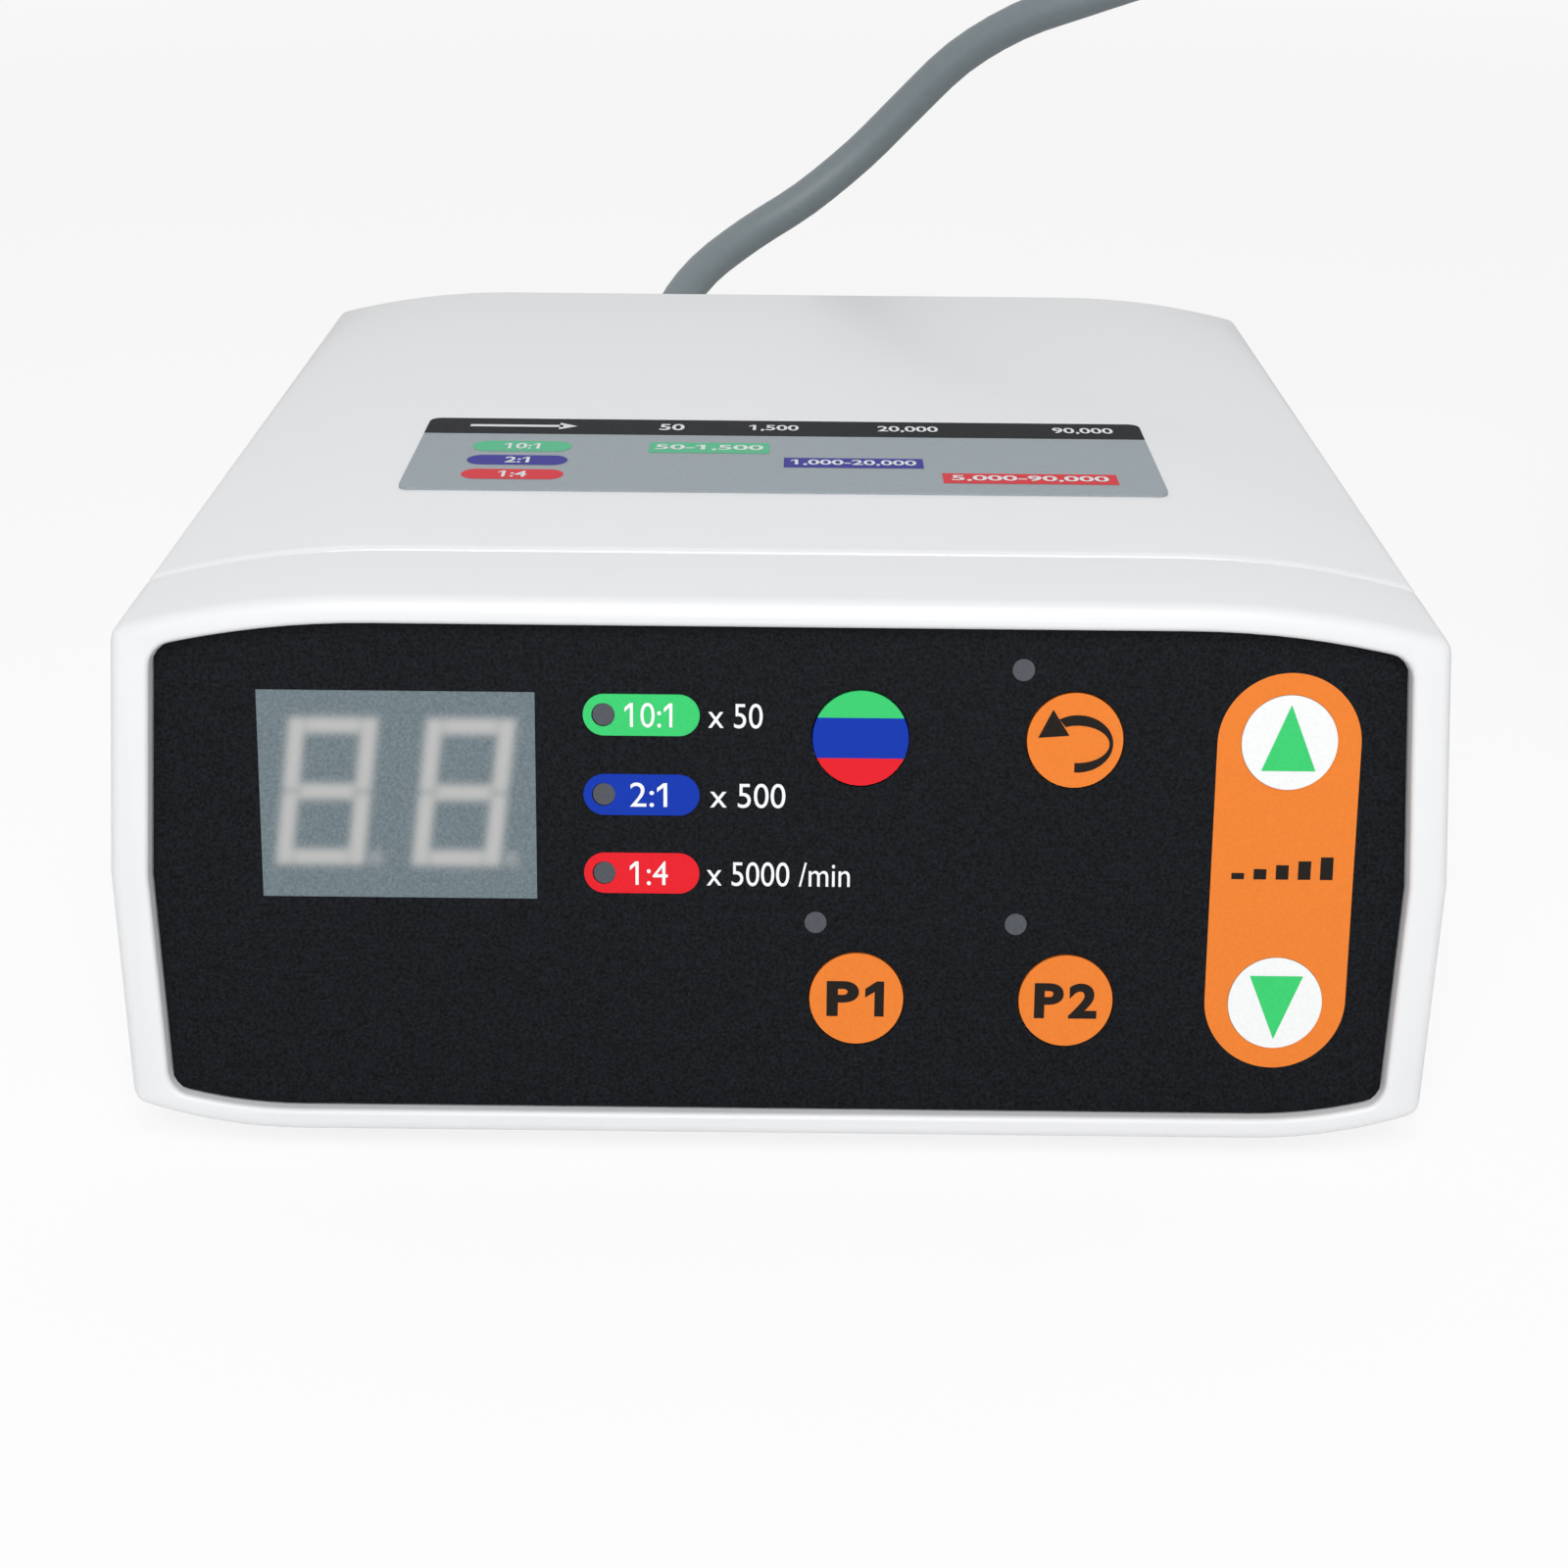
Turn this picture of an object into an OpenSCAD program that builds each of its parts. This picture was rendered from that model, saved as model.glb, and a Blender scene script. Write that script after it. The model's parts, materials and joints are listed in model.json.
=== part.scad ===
// Bench control unit for a dental micromotor, with its hose and motor handpiece.
// Millimetres. X to the right, Y to the back, Z up from the table.
// The origin lies on the table, midway between the four feet.

/* [Case] */
// Width at the parting line of the shells
case_w = 126.6; // [120:0.2:140]
// Height of the case without its feet
case_h = 50; // [48:0.5:56]
// Depth of the case at its base
case_d = 125.5; // [118:0.5:150]
// Backward lean of the front face, in degrees
face_lean = 16; // [10:0.5:18]
// Wall thickness of the shells
wall = 2.4; // [2:0.1:3]
// Height of the parting line above the case bottom
part_z = 24.5; // [22:0.5:27]
// Draft of the side walls, in degrees
draft = 3; // [1:0.1:4]
// Width of the flat middle of the top
top_flat = 76; // [60:1:84]
// Radius of the drooping shoulders of the top
top_r = 95; // [85:1:130]
// Width of the flat middle of the bottom
base_flat = 92; // [86:1:98]
// Radius of the rising shoulders of the bottom
base_r = 50; // [45:1:80]
// Height of the rubber feet
foot_h = 2.5; // [1.5:0.1:6]
// Radius of the rubber feet
foot_r = 6; // [4:0.1:8]

/* [Front] */
// Depth of the bezel, square to the face
bezel_t = 12.5; // [11.5:0.1:16]
// Rim beside the keypad panel
rim_side = 3.7; // [3.2:0.1:5]
// Rim above and below the keypad panel
rim_top = 2.3; // [1.8:0.1:4]
// Depth of the keypad panel below the rim
panel_sink = 1.5; // [0.6:0.1:2.5]
// Thickness of the bezel's front wall
front_t = 2; // [1.5:0.1:3]
// Thickness of the keypad overlay
overlay_t = 0.5; // [0.3:0.05:0.8]
// Length of the bezel's tongue inside the shells
tongue_l = 3; // [2:0.1:5]
// Thickness of the bezel's tongue
tongue_t = 1.2; // [0.8:0.1:1.6]

/* [Keys] */
// Diameter of the round keys
key_d = 9; // [8:0.1:11]
// First column of keys, right of the middle
key_x = 7.6; // [6:0.1:9]
// Spacing of the three key columns
key_pitch_x = 20.1; // [18:0.1:21]
// Spacing of the two key rows
key_pitch_v = 25.4; // [22:0.1:27]
// Travel of a key
key_travel = 0.4; // [0.2:0.05:0.6]
// Height of a key above the overlay
key_proud = 0.15; // [0:0.05:0.5]
// Height of a key switch body
switch_h = 3.5; // [3:0.1:5]

/* [Display] */
// Width of the display window
window_w = 26.1; // [24:0.1:28]
// Height of the display window
window_h = 19.9; // [18:0.1:22]
// Middle of the display window, left of the centre line
window_x = 36; // [35:0.1:37]
// Diameter of an indicator dot
lens_d = 2.1; // [1.6:0.1:3]
// Spacing of the three ratio indicators
ratio_pitch = 7.62; // [6:0.02:9]

/* [Top label] */
// Width of the label on the top
label_w = 80.5; // [60:0.5:84]
// Depth of the label on the top
label_d = 23.6; // [15:0.1:30]
// Distance from the front of the base to the label
label_y = 43.7; // [40:0.1:60]
// Thickness of the label
label_t = 0.25; // [0.1:0.05:0.5]

/* [Rear] */
// Thickness of the rear panel
rear_t = 2; // [1.5:0.1:3]
// Depth of the rear panel below the shells' edge
rear_sink = 1.2; // [0.6:0.1:3]
// Diameter of the pedal plug's bore
pedal_d = 6.5; // [3.6:0.1:7]
// Depth of the pedal plug's bore
pedal_depth = 20; // [14:0.5:24]
// Diameter of the power plug's bore
jack_d = 5.7; // [4:0.1:6.5]
// Swing of the power rocker between off and on, in degrees
rocker_swing = 22; // [14:1:24]

/* [Hose] */
// Diameter of the motor hose
hose_d = 5.8; // [5:0.1:6]
// Clear gap between neighbouring turns of the coil
wind_gap = 0.7; // [0.5:0.1:1.5]
// Radius of the innermost turn of the coil
coil_in_r = 24.5; // [22:0.5:30]
// Length of the tapered boot behind the case
gland_l = 15; // [10:0.5:20]

/* [Motor] */
// Diameter of the motor sleeve
motor_d = 20.5; // [20:0.1:24]
// Length of the motor sleeve
sleeve_l = 48; // [44:0.5:60]
// Diameter of the plain coupling collar on the nose
collar_d = 15.8; // [14:0.1:17]
// Length of the plain coupling collar
collar_l = 6; // [4:0.5:10]
// Diameter of the spigot that enters a handpiece
spigot_d = 12.6; // [11.6:0.1:13.4]
// Length of the spigot
spigot_l = 16; // [14:0.5:24]
// Diameter of the rotor shaft
shaft_d = 3; // [2.4:0.1:3.4]

/* [Hidden] */
$fn = 48;

// Clearances shared by pieces that fit together
fit_gap = 0.15;
key_gap = 0.15;
hole_gap = 0.1;
run_gap = 0.05;
over = 1;

// Main planes of the case
half_w = case_w / 2;
y_front = -case_d / 2;
y_rear = case_d / 2;
z_base = foot_h;
z_top = foot_h + case_h;
z_part = foot_h + part_z;
arc_steps = 8;

// Section of the case, seen from the front: shoulders, drafted sides, parting line at the widest place
function arc_end(r, reach) = asin(reach * cos(draft) / r) - draft;
function base_end(ix, iz) =
    arc_end(base_r - iz, half_w - ix - base_flat / 2 - (part_z - base_r) * tan(draft));
function top_end(ix, iz) =
    arc_end(top_r - iz, half_w - ix - top_flat / 2 - (case_h - top_r - part_z) * tan(draft));
function base_point(a, iz) =
    [base_flat / 2 + (base_r - iz) * sin(a), base_r - (base_r - iz) * cos(a)];
function top_point(a, iz) =
    [top_flat / 2 + (top_r - iz) * sin(a), case_h - top_r + (top_r - iz) * cos(a)];
function right_side(ix, iz) = concat(
    [for (k = [0 : arc_steps]) base_point(base_end(ix, iz) * k / arc_steps, iz)],
    [[half_w - ix, part_z]],
    [for (k = [arc_steps : -1 : 0]) top_point(top_end(ix, iz) * k / arc_steps, iz)]);
function mirrored(points) = [for (k = [len(points) - 1 : -1 : 0]) [-points[k][0], points[k][1]]];
function section(ix, iz) = concat(right_side(ix, iz), mirrored(right_side(ix, iz)));
// The same outline on the leaning face
function face_section(ix, iz) = [for (p = section(ix, iz)) [p[0], p[1] / cos(face_lean)]];

// Levels on the face, measured outwards from its rim
w_over = -panel_sink;
w_plate = w_over - overlay_t;
w_back = w_plate - front_t;
flange_t = 1;
stem_l = 0.6;
plunger_out = 1.3;
plunger_in = 0.8;
w_flange = w_back - hole_gap;
w_stem = w_flange - flange_t - stem_l;
w_switch = w_stem - plunger_out;
w_board = w_switch - switch_h;
board_t = 1.6;
bezel_wall = wall + fit_gap + tongue_t;
face_h = case_h / cos(face_lean);
face_mid = face_h / 2;

// Places on the face
key_mid_v = face_mid + 0.4;
// Keys in the order range, reverse, speed up, memory 1, memory 2, speed down
key_cells = [[0, 1], [1, 1], [2, 1], [0, 0], [1, 0], [2, 0]];
key_colours = ["royalblue", "darkorange", "white", "darkorange", "darkorange", "white"];
function key_place(c) = [key_x + key_pitch_x * c[0], key_mid_v + key_pitch_v * (c[1] - 0.5)];
window_v = face_mid + 7.2;
ratio_x = -16.5;
ratio_v = window_v + 0.3;
memory_lens = [0.5 - key_d / 2, 7.5];
side_lens = [-0.5 - key_d / 2, 7.5];
reverse_lens = [-0.5 - key_d / 2, 6.6];
lens_places = concat(
    [for (k = [-1 : 1]) [ratio_x, ratio_v + ratio_pitch * k]],
    [key_place([0, 0]) + memory_lens, key_place([1, 0]) + side_lens, key_place([1, 1]) + reverse_lens]);
key_flange_r = key_d / 2 + 1.2;
plunger_r = 1.75;
switch_w = 6;

// Front board and what holds it
board_clear = 0.5;
front_board_half = half_w - bezel_wall - 2.2;
hollow_base = base_r - sqrt(pow(base_r - bezel_wall, 2) - pow(front_board_half - base_flat / 2, 2));
board_low_v = (hollow_base + board_clear + (board_t - w_board) * sin(face_lean)) / cos(face_lean);
board_high_v = (case_h - bezel_wall - board_clear) / cos(face_lean);
front_board_h = board_high_v - board_low_v;
front_boss_r = 2.75;
front_screw_r = 1.2;
front_inset = 3;
front_places = [
    [front_inset - front_board_half, board_low_v + front_inset],
    [front_inset - front_board_half, board_high_v - front_inset],
    [front_board_half - front_inset, face_mid],
    [key_x + key_pitch_x / 2, face_mid]];
display_gap = 0.5;
display_margin = 0.5;

// Case screws, their bosses and the main board
screw_r = 1.5;
screw_head_r = 2.8;
screw_head_h = 2.6;
screw_seat_z = z_base + 8;
boss_r = 4;
boss_x = half_w - wall - boss_r - 1.5;
bezel_reach = (bezel_t + tongue_l) / cos(face_lean) + case_h * tan(face_lean);
boss_y = [y_front + bezel_reach + boss_r + 1, y_rear - 16];
foot_x = base_flat / 2 - foot_r - 1.5;
foot_y = case_d / 2 - bezel_t / cos(face_lean) - foot_r - 1.5;
peg_r = 2;
standoff_h = 6;
standoff_r = 3;
board_screw_r = 1.25;
main_half = boss_x - boss_r - 2;
main_y = [boss_y[0] - boss_r, y_rear - rear_sink - rear_t - 12];
z_main = z_base + wall + standoff_h;
z_parts = z_main + board_t;
main_hole_inset = 4;

// Rear panel and its fittings
panel_bite = 1.2;
y_panel = y_rear - rear_sink;
y_panel_in = y_panel - rear_t;
rocker_x = 38;
fitting_z = z_base + 24.5;
rocker_w = 9.6;
rocker_side = 0.2;
pivot_y = -3;
pivot_r = 1;
housing_w = 13;
housing_h = 19.4;
pocket_h = 17.4;
jack_x = 10;
jack_r = jack_d / 2 + 1.15;
jack_l = 12;
pedal_x = -42;
pedal_r = pedal_d / 2 + 1.25;
nut_t = 2.5;
gland_x = -19;
gland_r = 5.2;

// Coil: begins on its top layer, winds in and out by turns, and ends outside on the bottom layer
tie_t = 0.8;
coil_layers = 4;
coil_loops = 6;
coil_from = 30;
coil_to = 90;
turn_steps = 24;
wind_pitch = hose_d + wind_gap;
coil_turn = 360 * coil_loops + coil_to - coil_from;
layer_turn = coil_turn / coil_layers;
coil_z = tie_t + hose_d / 2;
coil_top_z = coil_z + (coil_layers - 1) * wind_pitch;
function coil_r(s) = coil_in_r + wind_pitch * abs(s % (2 * layer_turn) - layer_turn) / 360;
coil_out_r = coil_r(0);
coil_entry = [gland_x + 199, y_panel + 39.4, coil_top_z];
entry_way = [cos(coil_from), -sin(coil_from), 0];
coil_x = coil_entry[0] - coil_out_r * sin(coil_from);
coil_y = coil_entry[1] - coil_out_r * cos(coil_from);
// Each step down to the next layer takes the half turn round a reversal of the spiral
function step_down(s) = s < -90 ? 0 : s > 90 ? 1 : (1 + sin(s)) / 2;
function total(v, i = 0) = i < len(v) ? v[i] + total(v, i + 1) : 0;
function coil_drop(s) =
    wind_pitch * total([for (k = [1 : coil_layers - 1]) step_down(s - k * layer_turn)]);
function coil_point(s) = [
    coil_x + coil_r(s) * sin(coil_from + s),
    coil_y + coil_r(s) * cos(coil_from + s),
    coil_top_z - coil_drop(s)];
coil_turning = [for (s = [0 : 360 / turn_steps : coil_turn]) coil_point(s)];
motor_x = coil_x + coil_out_r;
lead_y = coil_y - hose_d;
coil_route = concat([coil_entry - hose_d * entry_way], coil_turning, [[motor_x, lead_y, coil_z]]);
// Least distance between surfaces of turns that are at least half a turn apart
half_turn = turn_steps / 2;
coil_gap = min([for (i = [0 : len(coil_turning) - 1 - half_turn])
    min([for (j = [i + half_turn : len(coil_turning) - 1]) norm(coil_turning[i] - coil_turning[j])])
    ]) - hose_d;
echo(coil_gap = coil_gap);

// Hose route from the rear gland over a free arch, then down and level into the coil
hose_in = 3.5;
free_route = [
    [-1, 27.5, 29], [-1.5, 37.5, 32.5], [0.5, 47.5, 37.5], [5, 56, 42], [12.5, 62.5, 46.5],
    [21.5, 66.5, 51.5], [30.5, 68.5, 58.5], [38, 68.5, 66], [46, 67, 74], [55, 64, 80],
    [64.5, 60.5, 84], [74.5, 58.5, 87.6], [85, 57.4, 91.2], [96, 56.7, 94.2], [107.5, 56.4, 96.4],
    [119.3, 56.4, 97.2], [130.2, 56.8, 95.8], [140.3, 57.6, 91.6], [149, 58.7, 84.9],
    [155.9, 59.7, 76.2], [160.6, 60.4, 66.1]];
landing_route = [
    [-36.7, 21.1, 32], [-35.8, 20.6, 23.7], [-33, 19, 16], [-28.6, 16.4, 9.4], [-22.8, 13.1, 4.3],
    [-16.2, 9.3, 1.1]];
run_route = concat(
    [for (dy = [-hose_in, 6.5, gland_l + 1.5]) [gland_x, y_panel + dy, fitting_z]],
    [for (p = free_route) [gland_x + p[0], y_panel + p[1], p[2]]],
    [for (p = landing_route) coil_entry + p],
    [for (k = [1.8, 1.4, 1]) coil_entry - k * hose_d * entry_way]);
// Lead from the coil up to the motor's boot, straight at both ends
boot_l = 16;
hose_seat = 12;
lead_l = 34;
lead_ease = 3;
lead_steps = 6;
motor_y = lead_y - lead_l;
motor_z = motor_d / 2;
function lead_point(k) = [
    motor_x,
    lead_y - lead_ease - k / lead_steps * (lead_l - 2 * lead_ease),
    coil_z + (motor_z - coil_z) * (1 - cos(180 * k / lead_steps)) / 2];
lead_route = concat(
    [for (dy = [0, lead_ease / 2]) [motor_x, lead_y - dy, coil_z]],
    [for (k = [0 : lead_steps]) lead_point(k)],
    [for (dy = [0, hose_seat]) [motor_x, motor_y - dy, motor_z]]);

// Motor stations along its axis, from the boot's mouth to the nose
nut_l = 8;
sleeve_z = boot_l + nut_l;
nose_z = sleeve_z + sleeve_l;
tip_z = nose_z + collar_l + spigot_l;
sleeve_wall = 1.6;
inner_r = motor_d / 2 - sleeve_wall;
bearing_r = 5;
bearing_l = 3.5;
bearing_z = [sleeve_z + 4, nose_z - 4];
magnet_r = 4.4;
air_gap = 0.4;
magnet_z = [bearing_z[0] + bearing_l + 3, bearing_z[1] - 5];
dog_r = 2.6;
dog_l = 7;
mouth_r = spigot_d / 2 - 1.6;
mouth_l = spigot_l - 2;
seal_r = 0.9;
seal_places = [nose_z + collar_l + 4, nose_z + collar_l + 9];

// Smooth curve through a route, two steps to each stretch, ends kept
function clamp_at(route, i) = route[max(0, min(len(route) - 1, i))];
function between(a, b, c, d, t) =
    0.5 * (2 * b + (c - a) * t + (2 * a - 5 * b + 4 * c - d) * t * t + (3 * b - a - 3 * c + d) * t * t * t);
function smooth(route, steps) = concat(
    [for (i = [0 : len(route) - 2], k = [0 : steps - 1])
        between(clamp_at(route, i - 1), route[i], route[i + 1], clamp_at(route, i + 2), k / steps)],
    [route[len(route) - 1]]);
// Tube swept along a path, rings square to it, closed by a fan of triangles at each end
function heading(path, i) =
    let (d = path[min(i + 1, len(path) - 1)] - path[max(i - 1, 0)]) d / norm(d);
function sideways(t, across) = let (s = cross(t, across)) s / norm(s);
function ring(path, i, r, sides, across) =
    let (t = heading(path, i), s = sideways(t, across), u = cross(s, t))
    [for (k = [0 : sides - 1]) path[i] + r * (cos(360 * k / sides) * s + sin(360 * k / sides) * u)];
function tube_points(path, r, sides, across) =
    [for (i = [0 : len(path) - 1]) each ring(path, i, r, sides, across)];
function wall_faces(i, k, sides) =
    let (a = i * sides + k, b = i * sides + (k + 1) % sides)
    [[a, b, a + sides], [b, b + sides, a + sides]];
function tube_faces(n, sides) = concat(
    [for (i = [0 : n - 2], k = [0 : sides - 1]) each wall_faces(i, k, sides)],
    [for (k = [1 : sides - 2]) [0, k + 1, k]],
    [for (k = [1 : sides - 2]) [(n - 1) * sides, (n - 1) * sides + k, (n - 1) * sides + k + 1]]);
// The direction "across" must never lie along the path
module tube(path, r, sides, across = [0, 0, 1]) {
    polyhedron(tube_points(path, r, sides, across), tube_faces(len(path), sides));
}

// Frames used by the pieces
module on_face() {
    translate([0, y_front, z_base]) rotate([90 - face_lean, 0, 0]) children();
}
module face_slab(w0, w1) {
    on_face() translate([-half_w - 10, -40, w0]) cube([case_w + 20, face_h + 80, w1 - w0]);
}
module prism(ix, iz, y0, y1) {
    translate([0, y1, z_base]) rotate([90, 0, 0]) linear_extrude(y1 - y0) polygon(section(ix, iz));
}
module rod_y(r, y0, y1) {
    translate([0, y1, 0]) rotate([90, 0, 0]) cylinder(r = r, h = y1 - y0);
}
module block(x0, x1, y0, y1, z0, z1) {
    translate([x0, y0, z0]) cube([x1 - x0, y1 - y0, z1 - z0]);
}
module on_motor() {
    translate([motor_x, motor_y, motor_z]) rotate([90, 0, 0]) children();
}
module hollow_rod(r_out, r_in, z0, z1) {
    translate([0, 0, z0]) difference() {
        cylinder(r = r_out, h = z1 - z0);
        translate([0, 0, -over]) cylinder(r = r_in, h = z1 - z0 + 2 * over);
    }
}
module at_corners(x, ys) {
    for (sx = [-1, 1], y = ys) translate([sx * x, y, 0]) children();
}
module window_cut(grow, w0, w1) {
    translate([-window_x - window_w / 2 - grow, window_v - window_h / 2 - grow, w0])
        cube([window_w + 2 * grow, window_h + 2 * grow, w1 - w0]);
}
module at_keys() {
    for (c = key_cells) translate(key_place(c)) children();
}
module at_lenses() {
    for (p = lens_places) translate(p) children();
}

// Front bezel: rim, recessed front wall with its openings, board posts and rear tongue
module bezel_shell() {
    difference() {
        intersection() {
            prism(0, 0, y_front - over, y_front + bezel_reach + over);
            face_slab(-bezel_t, 0);
        }
        on_face() translate([0, 0, w_plate]) linear_extrude(panel_sink + overlay_t + over)
            polygon(face_section(rim_side, rim_top));
        intersection() {
            prism(bezel_wall, bezel_wall, y_front - over, y_front + bezel_reach + over);
            face_slab(-bezel_t - over, w_back);
        }
    }
}
module bezel_tongue() {
    intersection() {
        difference() {
            prism(wall + fit_gap, wall + fit_gap, y_front, y_front + bezel_reach + over);
            prism(bezel_wall, bezel_wall, y_front - over, y_front + bezel_reach + 2 * over);
        }
        face_slab(-bezel_t - tongue_l, -bezel_t + over);
    }
}
module front_bezel() {
    color("white") difference() {
        union() {
            bezel_shell();
            bezel_tongue();
            on_face() for (p = front_places) translate([p[0], p[1], w_board])
                cylinder(r = front_boss_r, h = w_back - w_board + over / 2);
        }
        on_face() {
            at_keys() translate([0, 0, w_back - over])
                cylinder(r = key_d / 2 + key_gap, h = front_t + 2 * over);
            at_lenses() translate([0, 0, w_back - over])
                cylinder(r = lens_d / 2 + run_gap, h = front_t + 2 * over);
            window_cut(-display_margin, w_back - over, w_plate + over);
            for (p = front_places) translate([p[0], p[1], w_board - over])
                cylinder(r = front_screw_r + run_gap, h = 5 + over);
        }
    }
}

// Shells of the case behind the bezel
module shell_ring() {
    difference() {
        prism(0, 0, y_front, y_rear);
        prism(wall, wall, y_front - over, y_rear + over);
        prism(wall - panel_bite, wall - panel_bite, y_panel_in - run_gap, y_panel + run_gap);
        face_slab(-bezel_t, bezel_t * 4);
    }
}
module case_half(z0, z1) {
    intersection() {
        children();
        block(-half_w - over, half_w + over, y_front - over, y_rear + over, z0, z1);
    }
}
module boss_posts(z0, z1) {
    intersection() {
        at_corners(boss_x, boss_y) translate([0, 0, z0]) cylinder(r = boss_r, h = z1 - z0);
        prism(wall / 2, wall / 2, y_front, y_rear);
    }
}
module upper_case() {
    color("white") difference() {
        union() {
            case_half(z_part, z_top + over) shell_ring();
            boss_posts(z_part, z_top);
        }
        at_corners(boss_x, boss_y) translate([0, 0, z_part - over])
            cylinder(r = screw_r + run_gap, h = 12 + over);
    }
}
vent_count = 7;
vent_w = 2.4;
vent_l = 26;
vent_pitch = 6;
module lower_case() {
    color("white") difference() {
        union() {
            case_half(z_base - over, z_part) shell_ring();
            boss_posts(z_base, z_part);
            main_hole_places() translate([0, 0, z_base + wall / 2])
                cylinder(r = standoff_r, h = z_main - z_base - wall / 2);
        }
        at_corners(boss_x, boss_y) translate([0, 0, z_base - over]) {
            cylinder(r = screw_r + hole_gap, h = part_z + 2 * over);
            cylinder(r = screw_head_r + fit_gap, h = screw_seat_z - z_base + over);
        }
        main_hole_places() translate([0, 0, z_base + wall])
            cylinder(r = board_screw_r + run_gap, h = standoff_h + over);
        at_corners(foot_x, [-foot_y, foot_y]) translate([0, 0, z_base - over])
            cylinder(r = peg_r + run_gap, h = wall + 2 * over);
        for (k = [0 : vent_count - 1])
            block((k - (vent_count - 1) / 2) * vent_pitch - vent_w / 2,
                (k - (vent_count - 1) / 2) * vent_pitch + vent_w / 2,
                -vent_l / 2, vent_l / 2, z_base - over, z_base + wall + over);
    }
}
module main_hole_places() {
    at_corners(main_half - main_hole_inset, [main_y[0] + main_hole_inset, main_y[1] - main_hole_inset])
        children();
}
module rubber_feet() {
    color("dimgray") at_corners(foot_x, [-foot_y, foot_y]) {
        cylinder(r = foot_r, h = foot_h);
        cylinder(r = peg_r, h = foot_h + wall + 0.6);
    }
}
module case_screws() {
    color("silver") at_corners(boss_x, boss_y) translate([0, 0, screw_seat_z]) {
        translate([0, 0, -screw_head_h]) cylinder(r = screw_head_r, h = screw_head_h);
        cylinder(r = screw_r, h = z_part - screw_seat_z + 10);
    }
}

// Keypad overlay with its window and dots
module keypad_overlay() {
    color([0.1, 0.1, 0.12]) on_face() difference() {
        translate([0, 0, w_plate]) linear_extrude(overlay_t)
            polygon(face_section(rim_side + fit_gap, rim_top + fit_gap));
        at_keys() translate([0, 0, w_plate - over])
            cylinder(r = key_d / 2 + key_gap, h = overlay_t + 2 * over);
        at_lenses() translate([0, 0, w_plate - over])
            cylinder(r = lens_d / 2 + run_gap, h = overlay_t + 2 * over);
        window_cut(run_gap, w_plate - over, w_over + over);
    }
}
module display_window() {
    color([0.45, 0.5, 0.53]) on_face() window_cut(0, w_plate, w_over);
}
module indicator_lenses() {
    color("gray") on_face() at_lenses() translate([0, 0, w_back - 0.4])
        cylinder(r = lens_d / 2, h = w_over - w_back + 0.4);
}
module range_label() {
    color("darkgray") block(-label_w / 2, label_w / 2, y_front + label_y, y_front + label_y + label_d,
        z_top, z_top + label_t);
}

// Keys: cap through the overlay, flange behind the front wall, stem on the switch plunger
module key(i) {
    color(key_colours[i]) on_face() translate(key_place(key_cells[i])) {
        translate([0, 0, w_flange]) cylinder(r = key_d / 2, h = w_over + key_proud - w_flange);
        translate([0, 0, w_flange - flange_t]) cylinder(r = key_flange_r, h = flange_t);
        translate([0, 0, w_stem]) cylinder(r = 2, h = stem_l);
    }
}
module plunger(i) {
    color("black") on_face() translate(key_place(key_cells[i])) translate([0, 0, w_switch - plunger_in])
        cylinder(r = plunger_r, h = plunger_out + plunger_in);
}
module key_range() {
    key(0);
}
module plunger_range() {
    plunger(0);
}
module key_reverse() {
    key(1);
}
module plunger_reverse() {
    plunger(1);
}
module key_speed_up() {
    key(2);
}
module plunger_speed_up() {
    plunger(2);
}
module key_memory_1() {
    key(3);
}
module plunger_memory_1() {
    plunger(3);
}
module key_memory_2() {
    key(4);
}
module plunger_memory_2() {
    plunger(4);
}
module key_speed_down() {
    key(5);
}
module plunger_speed_down() {
    plunger(5);
}
module switch_bodies() {
    color([0.2, 0.2, 0.2]) on_face() at_keys() difference() {
        translate([-switch_w / 2, -switch_w / 2, w_board]) cube([switch_w, switch_w, switch_h]);
        translate([0, 0, w_switch - plunger_in - key_travel - hole_gap])
            cylinder(r = plunger_r + hole_gap, h = plunger_in + key_travel + hole_gap + over);
    }
}

// Front board and its parts
module front_board() {
    color("seagreen") on_face() difference() {
        translate([-front_board_half, board_low_v, w_board - board_t])
            cube([2 * front_board_half, front_board_h, board_t]);
        for (p = front_places) translate([p[0], p[1], w_board - board_t - over])
            cylinder(r = front_screw_r + hole_gap, h = board_t + 2 * over);
    }
}
module front_board_screws() {
    color("silver") on_face() for (p = front_places) translate([p[0], p[1], w_board - board_t]) {
        translate([0, 0, -1.7]) cylinder(r = 2.2, h = 1.7);
        cylinder(r = front_screw_r, h = board_t + 4.5);
    }
}
module digit_display() {
    color("lightgray") on_face() window_cut(-display_margin - fit_gap, w_board, w_plate - display_gap);
}
led_r = 1.5;
led_rim_r = 1.7;
w_led = w_back - 0.9;
module indicator_leds() {
    color("lightgray") on_face() at_lenses() {
        translate([0, 0, w_board]) cylinder(r = led_rim_r, h = 1);
        translate([0, 0, w_board]) cylinder(r = led_r, h = w_led - led_r - w_board);
        translate([0, 0, w_led - led_r]) sphere(r = led_r);
    }
}
header_w = 18;
header_d = 6;
header_h = 7;
header_x = -8;
front_header_v = face_mid + 3;
main_header_y = main_y[0] + 9;
module board_headers() {
    color("ivory") {
        on_face() translate([header_x - header_w / 2, front_header_v - header_d / 2,
            w_board - board_t - header_h]) cube([header_w, header_d, header_h]);
        block(header_x - header_w / 2, header_x + header_w / 2,
            main_header_y - header_d / 2, main_header_y + header_d / 2, z_parts, z_parts + header_h);
    }
}
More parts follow.
